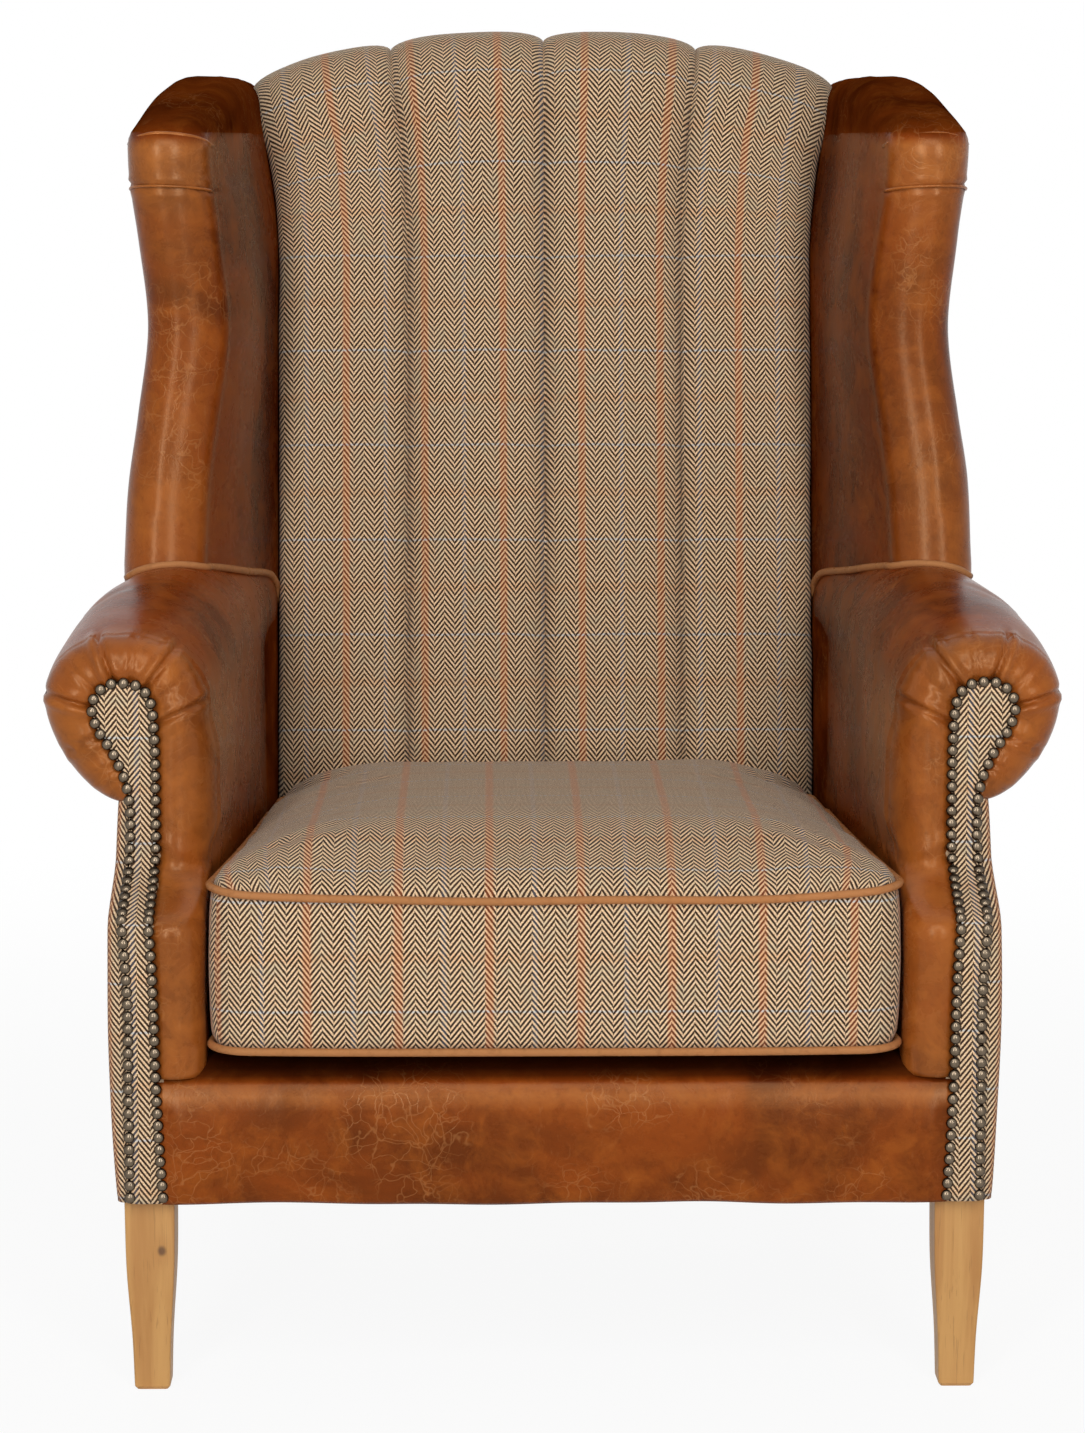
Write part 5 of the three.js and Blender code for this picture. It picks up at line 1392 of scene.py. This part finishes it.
for side_name, side in SIDES.items():
    outline = wing_section(ARM_BACK_TOP, 0.0)[BEHIND - 1:BEHIND + FACE + ROLL - 4]
    route = []
    for k, (x, y) in enumerate(outline):
        before, after = outline[max(0, k - 1)], outline[min(len(outline) - 1, k + 1)]
        run = Vector((after[0] - before[0], after[1] - before[1])).normalized()
        x, y = x + run.y * 3.0, y - run.x * 3.0
        route.append(Vector((max(x, arm_at(y)["inner"] + 1), y, arm_surface(x, y, 2.0))))
    piece(cord_mesh(route, PIPING, False), f"wing_foot_piping_{side_name}", cognac_tan,
          [f"arm_wing_piping_{side_name}"], side=side)

# %% [markdown]
# Each leg is a square oak block that stays straight under the seat and tapers to the floor. The
# front pair stands upright, and the rear pair sweeps back. A bevel softens the long edges.
# %% Oak legs
LEG_TAPER = [(0, 1), (0.35, 0.86), (0.75, 0.2), (1, 0)]
LEG_FOOT, LEG_BLOCK = 29, 41


def leg_rings(x, y, rake):
    rings = []
    for t in steps(22):
        z = lerp(LEG_TOP - 0.3, 0.0, t)
        half = lerp(LEG_FOOT, LEG_BLOCK, smooth_table(LEG_TAPER, t)) / 2 - (2.0 if t == 1 else 0)
        back = y + rake * t**1.4
        rings.append([(x + i * half, back + j * half, z) for i, j in ((-1, -1), (1, -1), (1, 1), (-1, 1))])
    floor_ring = rings.pop()
    foot_y = floor_ring[0][1] + LEG_FOOT / 2 - 2
    rings.append([(lerp(x, a, 1.16), lerp(foot_y, b, 1.16), 2.6) for a, b, _ in floor_ring])
    rings.append(floor_ring)
    return rings


def leg_mesh(x, y, rake):
    bm, rows = cover_from(leg_rings(x, y, rake), closed=True)
    for row in (rows[0], rows[-1]):
        bmesh.ops.contextual_create(bm, geom=row)
    bmesh.ops.recalc_face_normals(bm, faces=bm.faces)
    along = [e for row, below in zip(rows, rows[1:]) for a in row for b in below if (e := bm.edges.get((a, b)))]
    bmesh.ops.bevel(bm, geom=along, offset=1.6 * MM, segments=2, profile=0.5, affect="EDGES", material=-1,
                    clamp_overlap=True)
    return bm


REAR_LEG_Y = outside_y(LEG_TOP) - 7.3 - LEG_BLOCK / 2
for side_name, side in SIDES.items():
    for place, x, y, rake in [("front", 331.0, FRONT + 32.5, 0.0), ("rear", 276.0, REAR_LEG_Y, 60.0)]:
        finish = oak_knotted if (place, side_name) == ("front", "left") else oak
        leg = piece(leg_mesh(x, y, rake), f"oak_{place}_leg_{side_name}", finish,
                    [f"{place}_leg_{side_name}"], side=side)
        for face in leg.data.polygons:
            face.use_smooth = False

# %% [markdown]
# The chair stands on a plain white floor that fades into a white surround. Only camera and
# mirror rays see that white, so it adds no light to the chair. Two tall soft boxes at the sides,
# the left one a little stronger, draw the long highlights down the wings. A broad one in front
# lifts the tweed, and others above and behind keep the top and the back readable. The camera
# has a long lens and looks down by eight degrees, at the photograph's angle.
# %% Floor, light and camera
def seen_by_eye(tree):
    path = add(tree, "LightPath").outputs
    mirrored = calc(tree, "MAXIMUM", path["Is Glossy Ray"], path["Is Transmission Ray"])
    return calc(tree, "MAXIMUM", path["Is Camera Ray"], mirrored)


def studio_floor():
    bm = bmesh.new()
    bmesh.ops.create_grid(bm, x_segments=1, y_segments=1, size=9)
    made = bpy.data.materials.new("studio_floor")
    made.use_nodes = True
    tree = made.node_tree
    tree.nodes.clear()
    seen = seen_by_eye(tree)
    matt = add(tree, "BsdfDiffuse", {"Color": (0.86, 0.86, 0.86, 1)})
    glow = add(tree, "Emission", {"Color": (1, 1, 1, 1), "Strength": 1.0})
    away = add(tree, "VectorMath", {0: place_of(tree)}, operation="LENGTH").outputs["Value"]
    fade = calc(tree, "MULTIPLY_ADD", ramp(tree, away, 0.7, 2.4), 0.08, 0.92)
    share = calc(tree, "MULTIPLY", seen, fade)
    both = add(tree, "MixShader", {0: share, 1: matt.outputs[0], 2: glow.outputs[0]})
    out = tree.nodes.new("ShaderNodeOutputMaterial")
    tree.links.new(both.outputs[0], out.inputs[0])
    mesh = bpy.data.meshes.new("studio_floor")
    bm.to_mesh(mesh)
    bm.free()
    mesh.materials.append(made)
    obj = bpy.data.objects.new("studio_floor", mesh)
    bpy.context.scene.collection.objects.link(obj)


def studio_world():
    world = bpy.data.worlds.new("studio")
    bpy.context.scene.world = world
    world.use_nodes = True
    tree = world.node_tree
    tree.nodes.clear()
    ambient = add(tree, "Background", {"Color": (1, 1, 1, 1), "Strength": 0.14})
    white = add(tree, "Background", {"Color": (1, 1, 1, 1), "Strength": 1.0})
    both = add(tree, "MixShader", {0: seen_by_eye(tree), 1: ambient.outputs[0], 2: white.outputs[0]})
    out = tree.nodes.new("ShaderNodeOutputWorld")
    tree.links.new(both.outputs[0], out.inputs[0])


def soft_box(name, at, aim, width, height, power):
    lamp = bpy.data.lights.new(name, "AREA")
    lamp.shape = "RECTANGLE"
    lamp.size, lamp.size_y, lamp.energy = width, height, power
    obj = bpy.data.objects.new(name, lamp)
    obj.location = at
    obj.rotation_euler = (Vector(aim) - Vector(at)).to_track_quat("-Z", "Y").to_euler()
    bpy.context.scene.collection.objects.link(obj)
    return obj


studio_floor()
studio_world()
soft_box("box_left", (-1.2, -4.0, 1.75), (0.0, 0.0, 1.0), 0.4, 2.8, 60)
soft_box("box_right", (1.2, -4.0, 1.75), (0.0, 0.0, 1.0), 0.4, 2.8, 48)
soft_box("box_front", (0.0, -3.2, 3.5), (0.0, 0.0, 0.6), 2.2, 1.2, 42)
soft_box("box_top", (0.0, -0.2, 3.2), (0.0, 0.0, 0.5), 2.4, 2.0, 6)
soft_box("box_rear", (0.0, 4.2, 2.2), (0.0, 0.0, 0.6), 3.2, 2.0, 80).visible_glossy = False

camera = bpy.data.cameras.new("camera")
camera.lens = 101.5
eye = bpy.data.objects.new("camera", camera)
eye.location = (-0.054, -3.597, 1.014)
yaw, pitch = math.radians(0.78), math.radians(8.05)
gaze = Vector((math.sin(yaw) * math.cos(pitch), math.cos(yaw) * math.cos(pitch), -math.sin(pitch)))
eye.rotation_euler = gaze.to_track_quat("-Z", "Y").to_euler()
bpy.context.scene.collection.objects.link(eye)
bpy.context.scene.camera = eye
bpy.context.scene.view_settings.view_transform = "Standard"
print("camera", round((eye.location - Vector((0, -0.2, 0.56))).length, 2), "m from the chair,", camera.lens, "mm lens")
